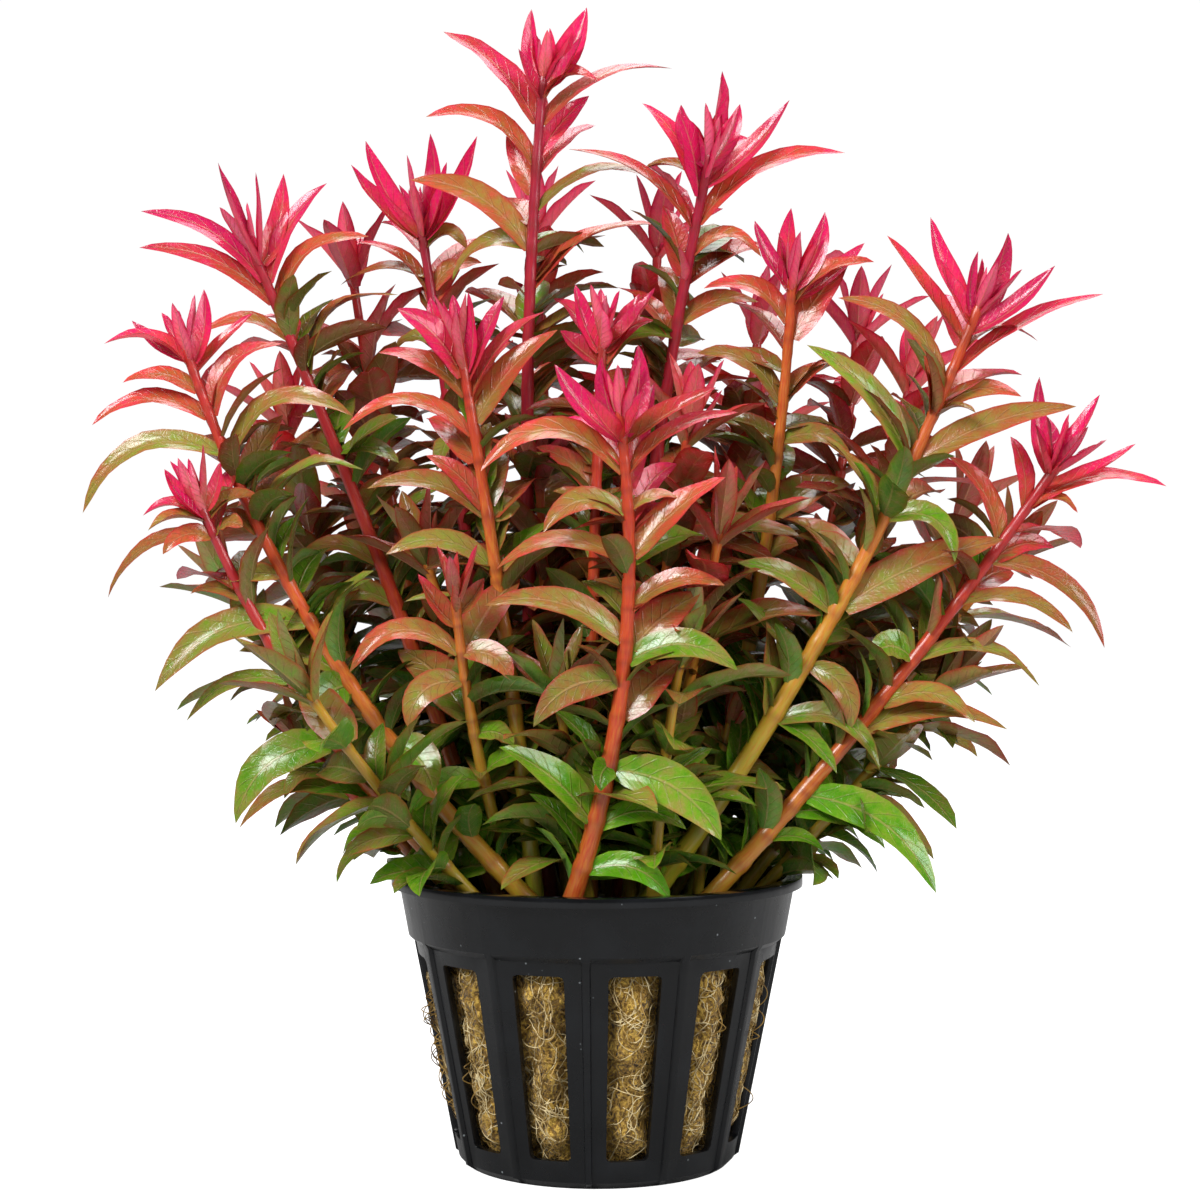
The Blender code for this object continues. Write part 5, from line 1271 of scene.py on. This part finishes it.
@dataclass
class RootNet:
    """The plant's own white roots, which branch as they creep down over the wool."""

    finishes: Finishes
    plug: WoolPlug
    count: int = 250
    step: float = 0.55 * MM
    radius: float = 0.062 * MM

    def _walk(self, source: random.Random, angle: float, height: float, length: float) -> list[Vector]:
        """Follows one root over the wool.

        Args:
            source: The random numbers.
            angle: Where it starts, round the pot.
            height: Where it starts, above the ground.
            length: How long it is.

        Returns:
            Its points.
        """
        points = []
        heading = source.uniform(-2.4, -0.7)
        lift = source.uniform(0.15, 0.6) * MM
        curl = 0.0
        for _ in range(int(length / self.step)):
            room = self.plug.pot.openness(angle, height) * self.plug.pot.wall
            limit = self.plug.pot.inner_radius(height) - 0.25 * MM + room
            radius = min(self.plug.radius(angle, height) + lift, limit)
            points.append(Vector((radius * math.cos(angle), radius * math.sin(angle), height)))
            curl = curl * 0.72 + source.uniform(-0.42, 0.42)
            heading += curl - 0.05 * (heading + 1.57)
            angle += math.cos(heading) * self.step / radius
            height += math.sin(heading) * self.step
            lift = min(0.9 * MM, max(0.05 * MM, lift + source.uniform(-0.16, 0.16) * MM))
            if not self.plug.bottom + MM < height < self.plug.top - MM:
                break
        return points

    def build(self) -> Any:
        """Builds the roots.

        Returns:
            The piece.
        """
        source = random.Random(21)
        lines = []
        pitch = 2 * math.pi / self.plug.pot.slots
        for number in range(self.count):
            slot = number % self.plug.pot.slots
            angle = self.plug.pot.first_slot + slot * pitch + source.gauss(0.0, 0.075)
            height = source.uniform(9.0, 31.0) * MM
            root = self._walk(source, angle, height, source.uniform(7, 22) * MM)
            lines.append(root)
            for _ in range(source.randrange(3)):
                if len(root) > 6:
                    fork = root[source.randrange(2, len(root) - 2)]
                    around = math.atan2(fork.y, fork.x)
                    lines.append(self._walk(source, around, fork.z, source.uniform(2, 7) * MM))
        made = strands_along(lines, "white_roots", self.radius, self.finishes.root)
        keep_inside_wall(made, self.plug.pot)
        smooth_mesh(made, math.pi)
        return place_piece("white_roots", made)


@dataclass
class LooseStrands:
    """The fibres that have worked their way out through the slots and hang there in loops."""

    finishes: Finishes
    pot: NetPot
    slots_and_counts: tuple[tuple[int, int], ...] = ((10, 26), (0, 3), (1, 5), (2, 3), (3, 4), (11, 3), (5, 4), (8, 6))
    radius: float = 0.075 * MM
    reach: float = 1.5 * MM

    def _loop(self, source: random.Random, slot: int) -> list[Vector]:
        """Bends one fibre out through a slot and back in.

        Args:
            source: The random numbers.
            slot: The number of the slot.

        Returns:
            Its points.
        """
        pitch = 2 * math.pi / self.pot.slots
        middle = self.pot.first_slot + slot * pitch
        start, end = (source.uniform(-0.085, 0.085) for _ in range(2))
        low = source.uniform(5.5, 22.0) * MM
        rise = source.uniform(1.0, 5.5) * MM
        reach = source.uniform(0.3, 1.0) * self.reach
        sway = source.uniform(-0.03, 0.03)
        points = []
        steps = 12
        for step in range(steps + 1):
            t = step / steps
            angle = middle + start + (end - start) * t + sway * math.sin(2 * math.pi * t)
            height = min(low + rise * t, self.pot.slot_top - 0.8 * MM)
            out = self.pot.inner_radius(height) - 0.5 * MM
            radius = out + (reach + 1.3 * MM) * math.sin(math.pi * t) ** 0.8
            points.append(Vector((radius * math.cos(angle), radius * math.sin(angle), height)))
        return points

    def build(self) -> Any:
        """Builds the loops.

        Returns:
            The piece.
        """
        source = random.Random(8)
        lines = [self._loop(source, slot) for slot, count in self.slots_and_counts for _ in range(count)]
        mesh = strands_along(lines, "loose_strands", self.radius, self.finishes.fibre)
        smooth_mesh(mesh, math.pi)
        return place_piece("loose_strands", mesh)


@dataclass
class LeafCourse:
    """Where one leaf runs: its guide points, upper side, width, node height and how much of the red it shows."""

    base: np.ndarray
    middle: np.ndarray
    tip: np.ndarray
    face: np.ndarray
    width: float
    height: float
    flush: float = 1.0
    # How far the leaf is painted as lit: below 1 its colour is darkened, painted shade inside the bunch.
    painted_daylight: float = 1.0


@dataclass
class StemLine:
    """The middle line of a stem: a quadratic curve from the wool to the crown."""

    foot: tuple[float, float]
    crown: tuple[float, float, float]
    bow: tuple[float, float]
    girth: float
    tip_radius: float = 0.62 * MM
    wool_top: float = 33.0

    def __post_init__(self) -> None:
        """Works out the three guide points in metres."""
        start = np.array((self.foot[0], self.foot[1], self.wool_top)) * MM
        end = np.array(self.crown) * MM
        middle = (start + end) / 2 + np.array((self.bow[0], 0.0, self.bow[1])) * MM
        self.guides = (start, middle, end)

    def point(self, t: float) -> tuple[np.ndarray, np.ndarray]:
        """A point of the line and its direction there."""
        return curve_point(self.guides, t)

    def radius(self, t: float) -> float:
        """The stem's radius at a share of its length."""
        return self.girth * MM + (self.tip_radius - self.girth * MM) * min(t, 1.0)

    def at_height(self, height: float) -> tuple[np.ndarray, np.ndarray, float]:
        """Finds the line at a height; it runs straight on past its end.

        Args:
            height: The height in metres.

        Returns:
            The point, the direction and the share of the length.
        """
        end, direction = self.point(1.0)
        if height >= end[2]:
            return end + direction * (height - end[2]) / direction[2], direction, 1.0
        low, high = 0.0, 1.0
        for _ in range(24):
            t = (low + high) / 2
            if self.point(t)[0][2] < height:
                low = t
            else:
                high = t
        return *self.point(low), low


def unit(vector: np.ndarray) -> np.ndarray:
    """A vector of length one in the same direction."""
    return vector / np.linalg.norm(vector)


def curve_point(guides: tuple[np.ndarray, ...], t: float) -> tuple[np.ndarray, np.ndarray]:
    """Follows a quadratic curve.

    Args:
        guides: Its three guide points.
        t: The share of the way along it.

    Returns:
        The point and the direction there.
    """
    a, b, c = guides
    point = a * (1 - t) ** 2 + b * 2 * t * (1 - t) + c * t * t
    return point, unit((b - a) * (1 - t) + (c - b) * t)


def frame_across(direction: np.ndarray) -> tuple[np.ndarray, np.ndarray]:
    """Two directions across a stem: one as near to +X as can be, and one square to it."""
    across = unit(np.array((1.0, 0.0, 0.0)) - direction * direction[0])
    return across, np.cross(direction, across)


@dataclass
class MeshParts:
    """Collects points, faces and point values, then makes one mesh of them."""

    points: list[np.ndarray] = field(default_factory=list)
    faces: list[tuple[int, ...]] = field(default_factory=list)
    finishes: list[int] = field(default_factory=list)
    blade: list[np.ndarray] = field(default_factory=list)
    bark: list[np.ndarray] = field(default_factory=list)
    blush: list[np.ndarray] = field(default_factory=list)
    tone: list[np.ndarray] = field(default_factory=list)
    scar: list[np.ndarray] = field(default_factory=list)
    count: int = 0

    def add_rings(
        self, rings: np.ndarray, tip: np.ndarray | None, finish: int, values: dict[str, np.ndarray]
    ) -> None:
        """Adds a closed skin over rings of points.

        Args:
            rings: The points, ring by ring.
            tip: The point that the last ring closes on, or None for a flat end.
            finish: The number of its material.
            values: For each attribute its values at the points.
        """
        turns, size = rings.shape[:2]
        first = self.count
        points = rings.reshape(-1, 3)
        if tip is not None:
            points = np.vstack((points, tip[None]))
        self.points.append(points)
        self.count += len(points)
        for name in ("blade", "bark", "blush", "tone", "scar"):
            default = np.zeros((len(points), 3) if name in ("blade", "bark") else len(points))
            getattr(self, name).append(values.get(name, default))
        before = len(self.faces)
        for ring in range(turns - 1):
            low = first + ring * size
            for i in range(size):
                j = (i + 1) % size
                self.faces.append((low + i, low + j, low + size + j, low + size + i))
        top = first + (turns - 1) * size
        if tip is None:
            self.faces.append(tuple(range(top, top + size)))
        else:
            self.faces += [(top + i, top + (i + 1) % size, first + turns * size) for i in range(size)]
        self.faces.append(tuple(range(first + size - 1, first - 1, -1)))
        self.finishes += [finish] * (len(self.faces) - before)

    def make(self, name: str, materials: tuple[Any, ...]) -> Any:
        """Makes the mesh.

        Args:
            name: Its name.
            materials: Its materials, in the order of the finish numbers.

        Returns:
            The mesh.
        """
        mesh = bpy.data.meshes.new(name)
        mesh.from_pydata(np.vstack(self.points).tolist(), [], self.faces)
        for material in materials:
            mesh.materials.append(material)
        mesh.polygons.foreach_set("material_index", np.array(self.finishes, dtype=np.int32))
        for label in ("blade", "bark"):
            layer = mesh.attributes.new(label, "FLOAT_VECTOR", "POINT")
            layer.data.foreach_set("vector", np.vstack(getattr(self, label)).astype(np.float32).ravel())
        for label in ("blush", "tone", "scar"):
            layer = mesh.attributes.new(label, "FLOAT", "POINT")
            layer.data.foreach_set("value", np.concatenate(getattr(self, label)).astype(np.float32))
        mesh.validate()
        smooth_mesh(mesh, math.radians(70))
        return mesh


@dataclass
class Cutting:
    """One rotala cutting: its stem with nodes and a bud, and every leaf that grows on it."""

    name: str
    finishes: Finishes
    line: StemLine
    pairs: int
    turn: float
    placed: tuple[tuple[float, ...], ...] = ()
    leaf_blush: tuple[float, float] = (0.12, 0.95)
    bark_blush: tuple[float, float] = (0.16, 0.8)
    crown_pairs: int = 3
    crown_step: float = 1.3 * MM
    lowest_leaf: float = 41.0 * MM
    back_leaf_step: float = 8.5 * MM
    back_leaf_swing: float = 38.0
    crown_depth: float = 3.0 * MM
    blush_depth: float = 15.0 * MM
    hidden_blush_depth: float = 26.0 * MM
    bare_below_crown: float = 9.0 * MM
    inner_top: float = 122.0 * MM
    rim_clearance: float = 38.5 * MM
    rim_reach: float = 22.0 * MM
    fullness: float = 1.4
    crown_fullness: float = 1.5
    tip_blush: float = 0.34
    incurved: float = -0.14
    root_depth: float = 4.5 * MM
    sides: int = 14
    leaf_stations: int = 11
    shaded_leaf_stations: int = 7
    leaf_thickness: float = 0.13 * MM
    taper: float = 0.84

    def _pair_heights(self) -> list[float]:
        """The heights of the leaf pairs, closer together towards the crown."""
        top = self.line.guides[2][2]
        reach = (top - self.lowest_leaf) * 0.97
        return [self.lowest_leaf + reach * (1 - (1 - i / self.pairs) ** 1.3) for i in range(self.pairs)]

    def _grown_shape(self, share: float, source: random.Random) -> tuple[float, ...]:
        """Length, width, rise, arch and roll of a leaf at a share of the stem's height."""
        length = (12.5 + 3.5 * math.sin(math.pi * share)) * source.uniform(0.88, 1.12) * MM
        width = length * (0.36 - 0.12 * share) * source.uniform(0.92, 1.08) * self.fullness
        rise = math.radians(6 + 34 * share**2 + source.uniform(-9, 9))
        arch = length * (0.26 - 0.08 * share)
        return length, width, rise, arch, math.radians(source.uniform(-28, 28))

    def _crown_shape(self, step: int, source: random.Random) -> tuple[float, ...]:
        """The same for the upright leaves of the crown."""
        length = (12.5 - 1.3 * step) * source.uniform(0.94, 1.06) * MM
        rise = math.radians(44 + 14 * step + source.uniform(-6, 6))
        return length, length * 0.34, rise, length * (0.1 - 0.07 * step), math.radians(source.uniform(-12, 12))

    def _grow(self, height: float, angle: float, shape: tuple[float, ...], yaw: float) -> LeafCourse:
        """Places a leaf that grows by rule.

        Args:
            height: The height of its node.
            angle: Its compass angle round the stem.
            shape: Its length, width, rise, arch and roll.
            yaw: How far it swings sideways.

        Returns:
            The leaf's course.
        """
        node, upward, t = self.line.at_height(height)
        across, along = frame_across(upward)
        outward = across * math.cos(angle) + along * math.sin(angle)
        base = node + outward * self.line.radius(t) * 0.7
        length, width, rise, arch, roll = shape
        heading = unit(outward * math.cos(yaw) + np.cross(upward, outward) * math.sin(yaw))
        chord = heading * math.cos(rise) + upward * math.sin(rise)
        normal = unit(upward - chord * chord.dot(upward))
        middle = base + chord * length / 2 + normal * arch
        face = normal * math.cos(roll) + np.cross(chord, normal) * math.sin(roll)
        tip = base + chord * length
        sunk = self.rim_clearance - tip[2]
        if sunk > 0 and math.hypot(tip[0], tip[1]) > self.rim_reach:
            tip[2] += sunk
            middle[2] += sunk * 0.6
        return LeafCourse(base, middle, tip, face, width, height)

    def _place(self, reading: tuple[float, ...]) -> LeafCourse:
        """Places a leaf that the front view tells apart.

        Args:
            reading: Its height, its tip from there, its width, the turn of its face and its arch.

        Returns:
            The leaf's course.
        """
        height, x, y, z, width, turn, arch = reading
        node, upward, t = self.line.at_height(height * MM)
        offset = np.array((x, y, z)) * MM
        outward = unit(offset - upward * offset.dot(upward))
        base = node + outward * self.line.radius(t) * 0.7
        tip = node + offset
        chord = unit(tip - base)
        inward = np.array((-0.4 * outward[0], -0.4 * outward[1], 1.0))
        lift = unit(inward - chord * inward.dot(chord))
        front = np.cross(chord, lift)
        if front[1] > 0:
            front = -front
        face = lift * math.cos(math.radians(turn)) + front * math.sin(math.radians(turn))
        steep = min(1.0, max(0.0, (chord.dot(upward) - 0.1) / 0.7))
        if node[2] > self.line.guides[2][2] - self.crown_depth and arch < 0.3:
            arch += (self.incurved - arch) * steep
        middle = (base + tip) / 2 + lift * np.linalg.norm(tip - base) * arch
        in_crown = height * MM > self.line.guides[2][2] - 2 * self.crown_depth
        fullness = self.crown_fullness if in_crown else self.fullness
        flush = 0.52 + 0.48 * steep
        return LeafCourse(base, middle, tip, face, width * MM * fullness, height * MM, flush)

    def _leaves(self) -> list[LeafCourse]:
        """Lists every leaf of the cutting that its solid follows.

        Returns:
            The leaves, the placed ones first.
        """
        source = random.Random(self.name)
        top = self.line.guides[2][2]
        found = [self._place(reading) for reading in self.placed]
        if found:
            height = self.lowest_leaf
            swing = self.back_leaf_swing
            while height < top:
                share = (height - self.lowest_leaf) / (top - self.lowest_leaf)
                angle = math.radians(90 + swing + source.uniform(-12, 12))
                found.append(self._grow(height, angle, self._grown_shape(share, source), 0.0))
                height += self.back_leaf_step * (1.15 - 0.4 * share)
                swing = -swing
            return found
        heights = self._pair_heights()
        for ring in range(self.pairs + self.crown_pairs):
            step = ring - self.pairs
            height = heights[ring] if step < 0 else top + self.crown_step * step
            for half in (0, 180):
                angle = math.radians(self.turn + 90 * (ring % 2) + half)
                grown = step < 0
                shape = self._grown_shape(ring / self.pairs, source) if grown else self._crown_shape(step, source)
                yaw = math.radians(source.uniform(-14, 14))
                found.append(self._grow(height, angle, shape, yaw))
        return found

    def _heart_leaves(self) -> list[LeafCourse]:
        """Lists the small unfolding leaves in the middle of the crown."""
        source = random.Random(self.name + "heart")
        top = self.line.guides[2][2]
        found = []
        for number in range(5):
            length = (8.0 - number * 0.8) * MM
            shape = (length, length * 0.34, math.radians(68 + number * 4), -length * 0.06, 0.0)
            angle = math.radians(self.turn + number * 137.5 + source.uniform(-10, 10))
            found.append(self._grow(top + (0.6 + 0.3 * number) * MM, angle, shape, 0.0))
        return found

    def _inner_leaves(self) -> list[LeafCourse]:
        """Lists the smaller leaves that fill the bunch from within.

        Returns:
            The leaves: on a cutting that the front view shows they stand towards the inside and the back.
        """
        source = random.Random(self.name + "inner")
        top = self.line.guides[2][2]
        shown = bool(self.placed)
        found = []
        height = 39.0 * MM
        while height < min(top - self.bare_below_crown, self.inner_top):
            node, _, _ = self.line.at_height(height)
            inward = math.atan2(0.02 - node[1], -node[0])
            angle = inward + source.gauss(0.0, 0.9) if shown else source.uniform(-math.pi, math.pi)
            length = source.uniform(7.0, 12.5 if shown else 14.5) * MM
            rise = math.radians(source.uniform(-5, 50))
            shape = (length, length * 0.4, rise, length * 0.2, math.radians(source.uniform(-35, 35)))
            leaf = self._grow(height, angle, shape, 0.0)
            leaf.flush = source.uniform(0.2, 0.8) if shown else source.uniform(0.6, 1.2)
            # Inner leaves get darker colours: partly the darker green of shade leaves, partly painted shade.
            leaf.painted_daylight = source.uniform(0.15, 0.85)
            found.append(leaf)
            height += source.uniform(0.9, 2.2 if shown else 1.2) * MM
        return found

    def _leaf_redness(self, height: float) -> float:
        """How far towards crimson the leaves have turned at a height: most at the crown, soon less below."""
        top = self.line.guides[2][2]
        low, high = self.leaf_blush
        low *= min(1.0, max(0.0, (height - 38 * MM) / (34 * MM)))
        depth = self.blush_depth if self.placed else self.hidden_blush_depth
        return low + (high - low) * math.exp(-max(0.0, top - height) / depth)

    def _bark_redness(self, height: float) -> float:
        """How far towards crimson the bark has turned at a height."""
        top = self.line.guides[2][2]
        low, high = self.bark_blush
        return low + (high - low) * min(1.0, max(0.0, (height - 36 * MM) / (top - 36 * MM)))

    def _add_leaf(self, parts: MeshParts, leaf: LeafCourse, source: random.Random) -> None:
        """Adds one leaf as a thin closed skin.

        Args:
            parts: The mesh it joins.
            leaf: Where it runs.
            source: The random numbers.
        """
        guides = (leaf.base, leaf.middle, leaf.tip)
        length = float(np.linalg.norm(leaf.tip - leaf.base))
        young = self.line.guides[2][2] - leaf.height < self.crown_depth
        crosswise = np.array((-1.0, -0.52, 0.0, 0.52, 1.0, 0.52, 0.0, -0.52))
        below = np.array((0.0,) * 5 + (1.0,) * 3)
        bulge = np.sqrt(1 - crosswise**2 * 0.96)
        fold = math.radians(source.uniform(26, 40) if young else source.uniform(8, 24))
        wave_phase = source.uniform(0, 6.28)
        wave_count = source.uniform(1.3, 2.6)
        wave_height = source.uniform(0.02, 0.05) * leaf.width
        twist = source.gauss(0.0, 0.22)
        count = self.leaf_stations if leaf.painted_daylight == 1.0 else self.shaded_leaf_stations
        stations = 1 - (1 - np.linspace(0.0, 1.0, count)) ** 1.12
        stations = stations[:-1]
        peak = source.uniform(0.36, 0.44)
        rings = []
        alongs = []
        for u in stations:
            point, direction = curve_point(guides, float(u))
            side = unit(np.cross(leaf.face, direction))
            lift = np.cross(direction, side)
            turned = twist * u
            side, lift = (
                side * math.cos(turned) + lift * math.sin(turned),
                lift * math.cos(turned) - side * math.sin(turned),
            )
            shifted = 0.045 + 0.955 * u
            power = peak / (1 - peak) * self.taper
            half = (shifted**power * (1 - shifted) ** self.taper) / (peak**power * (1 - peak) ** self.taper)
            half *= leaf.width / 2
            wave = np.sin(wave_count * 6.28 * u + wave_phase + (crosswise > 0) * 1.3) * wave_height
            rise = np.abs(crosswise) * half * math.sin(fold) + wave * crosswise**2 * min(1.0, 4 * u)
            thick = self.leaf_thickness * (1.5 - 0.9 * u) * bulge / 2
            thick = np.where(below > 0, -thick, thick) + (crosswise == 0) * (below > 0) * -0.12 * MM * (1 - u)
            ring = point + np.outer(crosswise * half * math.cos(fold), side) + np.outer(rise + thick, lift)
            rings.append(ring)
            alongs.append(np.full(len(crosswise), u))
        along = np.concatenate([*alongs, np.ones(1)])
        size = len(stations)
        across = np.concatenate([np.tile(crosswise, size), np.zeros(1)])
        under = np.concatenate([np.tile(below, size), np.zeros(1)])
        redness = self._leaf_redness(leaf.height) * leaf.flush
        drift = source.gauss(0.0, 0.07) * min(1.0, 4 * redness)
        tint = redness + drift + self.tip_blush * redness * (along - 0.55)
        count = len(along)
        # The leaf's tone is random, times its painted daylight, which paints shade on leaves inside the bunch.
        parts.add_rings(np.array(rings), leaf.tip, 1, {
            "blade": np.stack((along, across, under), axis=1),
            "blush": tint,
            "tone": np.full(count, source.uniform(0.55, 1.0) * leaf.painted_daylight),
        })

    def _add_stem(self, parts: MeshParts, leaves: list[LeafCourse]) -> None:
        """Adds the stem as a round skin that swells at its nodes.

        Args:
            parts: The mesh it joins.
            leaves: The leaves whose nodes swell.
        """
        start, direction = self.line.point(0.0)
        down = unit(direction * np.array((0.4, 0.4, 1.0)))
        nodes = np.array(sorted({round(leaf.height / MM * 2) / 2 * MM for leaf in leaves}))
        rings = [(start - down * self.root_depth, down, self.line.girth * MM * 0.92, -0.05, 0.0)]
        steps = 96
        end_height = self.line.guides[2][2] + self.crown_step
        for step in range(steps + 1):
            height = start[2] + 0.4 * MM + (end_height - start[2] - 0.4 * MM) * step / steps
            point, direction, t = self.line.at_height(height)
            near = float(np.min(np.abs(nodes - height))) if len(nodes) else 1.0
            swell = math.exp(-((near / (0.75 * MM)) ** 2))
            groove = math.exp(-(((near - 0.9 * MM) / (0.35 * MM)) ** 2))
            radius = self.line.radius(t) * (0.95 + 0.14 * swell - 0.04 * groove)
            rings.append((point, direction, radius, t, 0.5 * math.exp(-((near / (0.3 * MM)) ** 2))))
        made = []
        bark = []
        blush = []
        scar = []
        tone = []
        angles = np.arange(self.sides) * 2 * math.pi / self.sides
        travelled = 0.0
        previous = rings[0][0]
        for point, direction, radius, _, mark in rings:
            across, along = frame_across(direction)
            travelled += float(np.linalg.norm(point - previous)) / MM
            previous = point
            made.append(point + (np.outer(np.cos(angles), across) + np.outer(np.sin(angles), along)) * radius)
            bark.append(np.stack((np.cos(angles), np.sin(angles), np.full(self.sides, travelled)), axis=1))
            blush.append(np.full(self.sides, self._bark_redness(point[2])))
            scar.append(np.full(self.sides, mark))
            # Painted shade: the bark's colour darkens towards the wool, where the pot and the leaves shade it.
            depth = max(0.0, point[2] - start[2]) / (14 * MM)
            tone.append(np.full(self.sides, 0.92 - 0.42 * math.exp(-depth)))
        last, direction = rings[-1][0], rings[-1][1]
        bud = last + direction * 2.2 * MM
        parts.add_rings(np.array(made), bud, 0, {
            "bark": np.vstack((*bark, np.array(((0.0, 0.0, travelled),)))),
            "blush": np.concatenate((*blush, np.ones(1))),
            "tone": np.concatenate((*tone, np.ones(1))),
            "scar": np.concatenate((*scar, np.zeros(1))),
        })

    def build(self) -> Any:
        """Builds the cutting.

        Returns:
            The piece.
        """
        source = random.Random(self.name + "leaf form")
        main_leaves = self._leaves()
        parts = MeshParts()
        self._add_stem(parts, main_leaves)
        for leaf in (*main_leaves, *self._heart_leaves(), *self._inner_leaves()):
            self._add_leaf(parts, leaf, source)
        piece_name = self.name + "_plant"
        mesh = parts.make(piece_name, (self.finishes.stem, self.finishes.leaf))
        return place_piece(piece_name, mesh, (self.name,))


@dataclass
class Bunch:
    """All the cuttings, planted together; those that stay low in the shade keep greener crowns."""

    finishes: Finishes
    green_below: float = 52.0
    red_reach: float = 62.0

    def cuttings(self) -> Iterator[Cutting]:
        """Makes each cutting from its readings.

        Yields:
            The cuttings in the order of their numbers.
        """
        for name, (foot, crown, bow, girth, pairs, turn) in STEMS.items():
            line = StemLine(foot, crown, bow, girth)
            young_red = min(0.97, max(0.3, (crown[2] - self.green_below) / self.red_reach))
            yield Cutting(
                name, self.finishes, line, pairs, turn, PLACED.get(name, ()),
                LEAF_BLUSH.get(name, (0.12, young_red)), BARK_BLUSH.get(name, (0.16, young_red * 0.85)))

    def build(self) -> list[Any]:
        """Builds every cutting."""
        return [cutting.build() for cutting in self.cuttings()]


@dataclass
class Studio:
    """The photographer's table: a white floor, soft lamps and a level camera in front."""

    camera_place: tuple[float, float, float] = (0.0004, -0.318, 0.0747)
    lens: float = 71.07
    sky: float = 0.5
    dim_room: float = 0.13

    def _floor(self) -> None:
        """Lays the seamless paper."""
        bm = bmesh.new()
        corners = ((-3, -3, 0), (3, -3, 0), (3, 3, 0), (-3, 3, 0))
        bm.faces.new([bm.verts.new(corner) for corner in corners])
        mesh = bpy.data.meshes.new("paper_floor")
        bm.to_mesh(mesh)
        bm.free()
        mesh.materials.append(StudioPaper().make())
        floor = bpy.data.objects.new("paper_floor", mesh)
        bpy.context.scene.collection.objects.link(floor)

    def _lamp(self, name: str, place: tuple[float, float, float], size: float, power: float) -> None:
        """Hangs one square soft lamp that looks at the plant.

        Args:
            name: The lamp's name.
            place: Where it hangs.
            size: The length of its side.
            power: Its power in watts.
        """
        data = bpy.data.lights.new(name, "AREA")
        data.size = size
        data.energy = power
        lamp = bpy.data.objects.new(name, data)
        lamp.location = place
        lamp.rotation_euler = (Vector((0.0, 0.0, 0.08)) - Vector(place)).to_track_quat("-Z", "Y").to_euler()
        bpy.context.scene.collection.objects.link(lamp)

    def build(self) -> None:
        """Sets up the floor, the light and the camera."""
        self._floor()
        self._lamp("key_softbox", (-0.4, -0.5, 0.6), 0.3, 7.0)
        self._lamp("fill_softbox", (0.55, -0.45, 0.4), 0.35, 3.4)
        self._lamp("top_softbox", (0.05, 0.2, 0.68), 0.5, 4.6)
        world = bpy.data.worlds.new("white studio")
        world.use_nodes = True
        world.node_tree.nodes.clear()
        output = add_node(world.node_tree, "ShaderNodeOutputWorld")
        ray = add_node(world.node_tree, "ShaderNodeLightPath").outputs
        room = add_node(
            world.node_tree, "ShaderNodeMix", {0: ray["Is Glossy Ray"], 2: self.sky, 3: self.dim_room}).outputs[0]
        power = add_node(world.node_tree, "ShaderNodeMix", {0: ray["Is Camera Ray"], 2: room, 3: 1.02}).outputs[0]
        glow = add_node(world.node_tree, "ShaderNodeBackground", {0: (1.0, 1.0, 1.0, 1.0), 1: power})
        world.node_tree.links.new(glow.outputs[0], output.inputs[0])
        bpy.context.scene.world = world
        data = bpy.data.cameras.new("camera")
        data.lens = self.lens
        data.sensor_width = 36.0
        data.clip_start = 0.01
        camera = bpy.data.objects.new("camera", data)
        camera.location = self.camera_place
        camera.rotation_euler = (math.pi / 2, 0.0, 0.0)
        bpy.context.scene.collection.objects.link(camera)
        bpy.context.scene.camera = camera
        bpy.context.scene.view_settings.view_transform = "Standard"


def main() -> None:
    """Builds and dresses the object piece by piece and sets up the studio."""
    logging.basicConfig(level=logging.INFO, format="%(name)s: %(message)s")
    finishes = Finishes()
    studio = Studio()
    studio.build()
    pot = NetPot(finishes)
    pot.build()
    plug = WoolPlug(finishes, pot)
    plug.build()
    RootNet(finishes, plug).build()
    LooseStrands(finishes, pot).build()
    plants = Bunch(finishes).build()
    LOG.info("%d cuttings planted", len(plants))


if __name__ == "__main__":
    main()
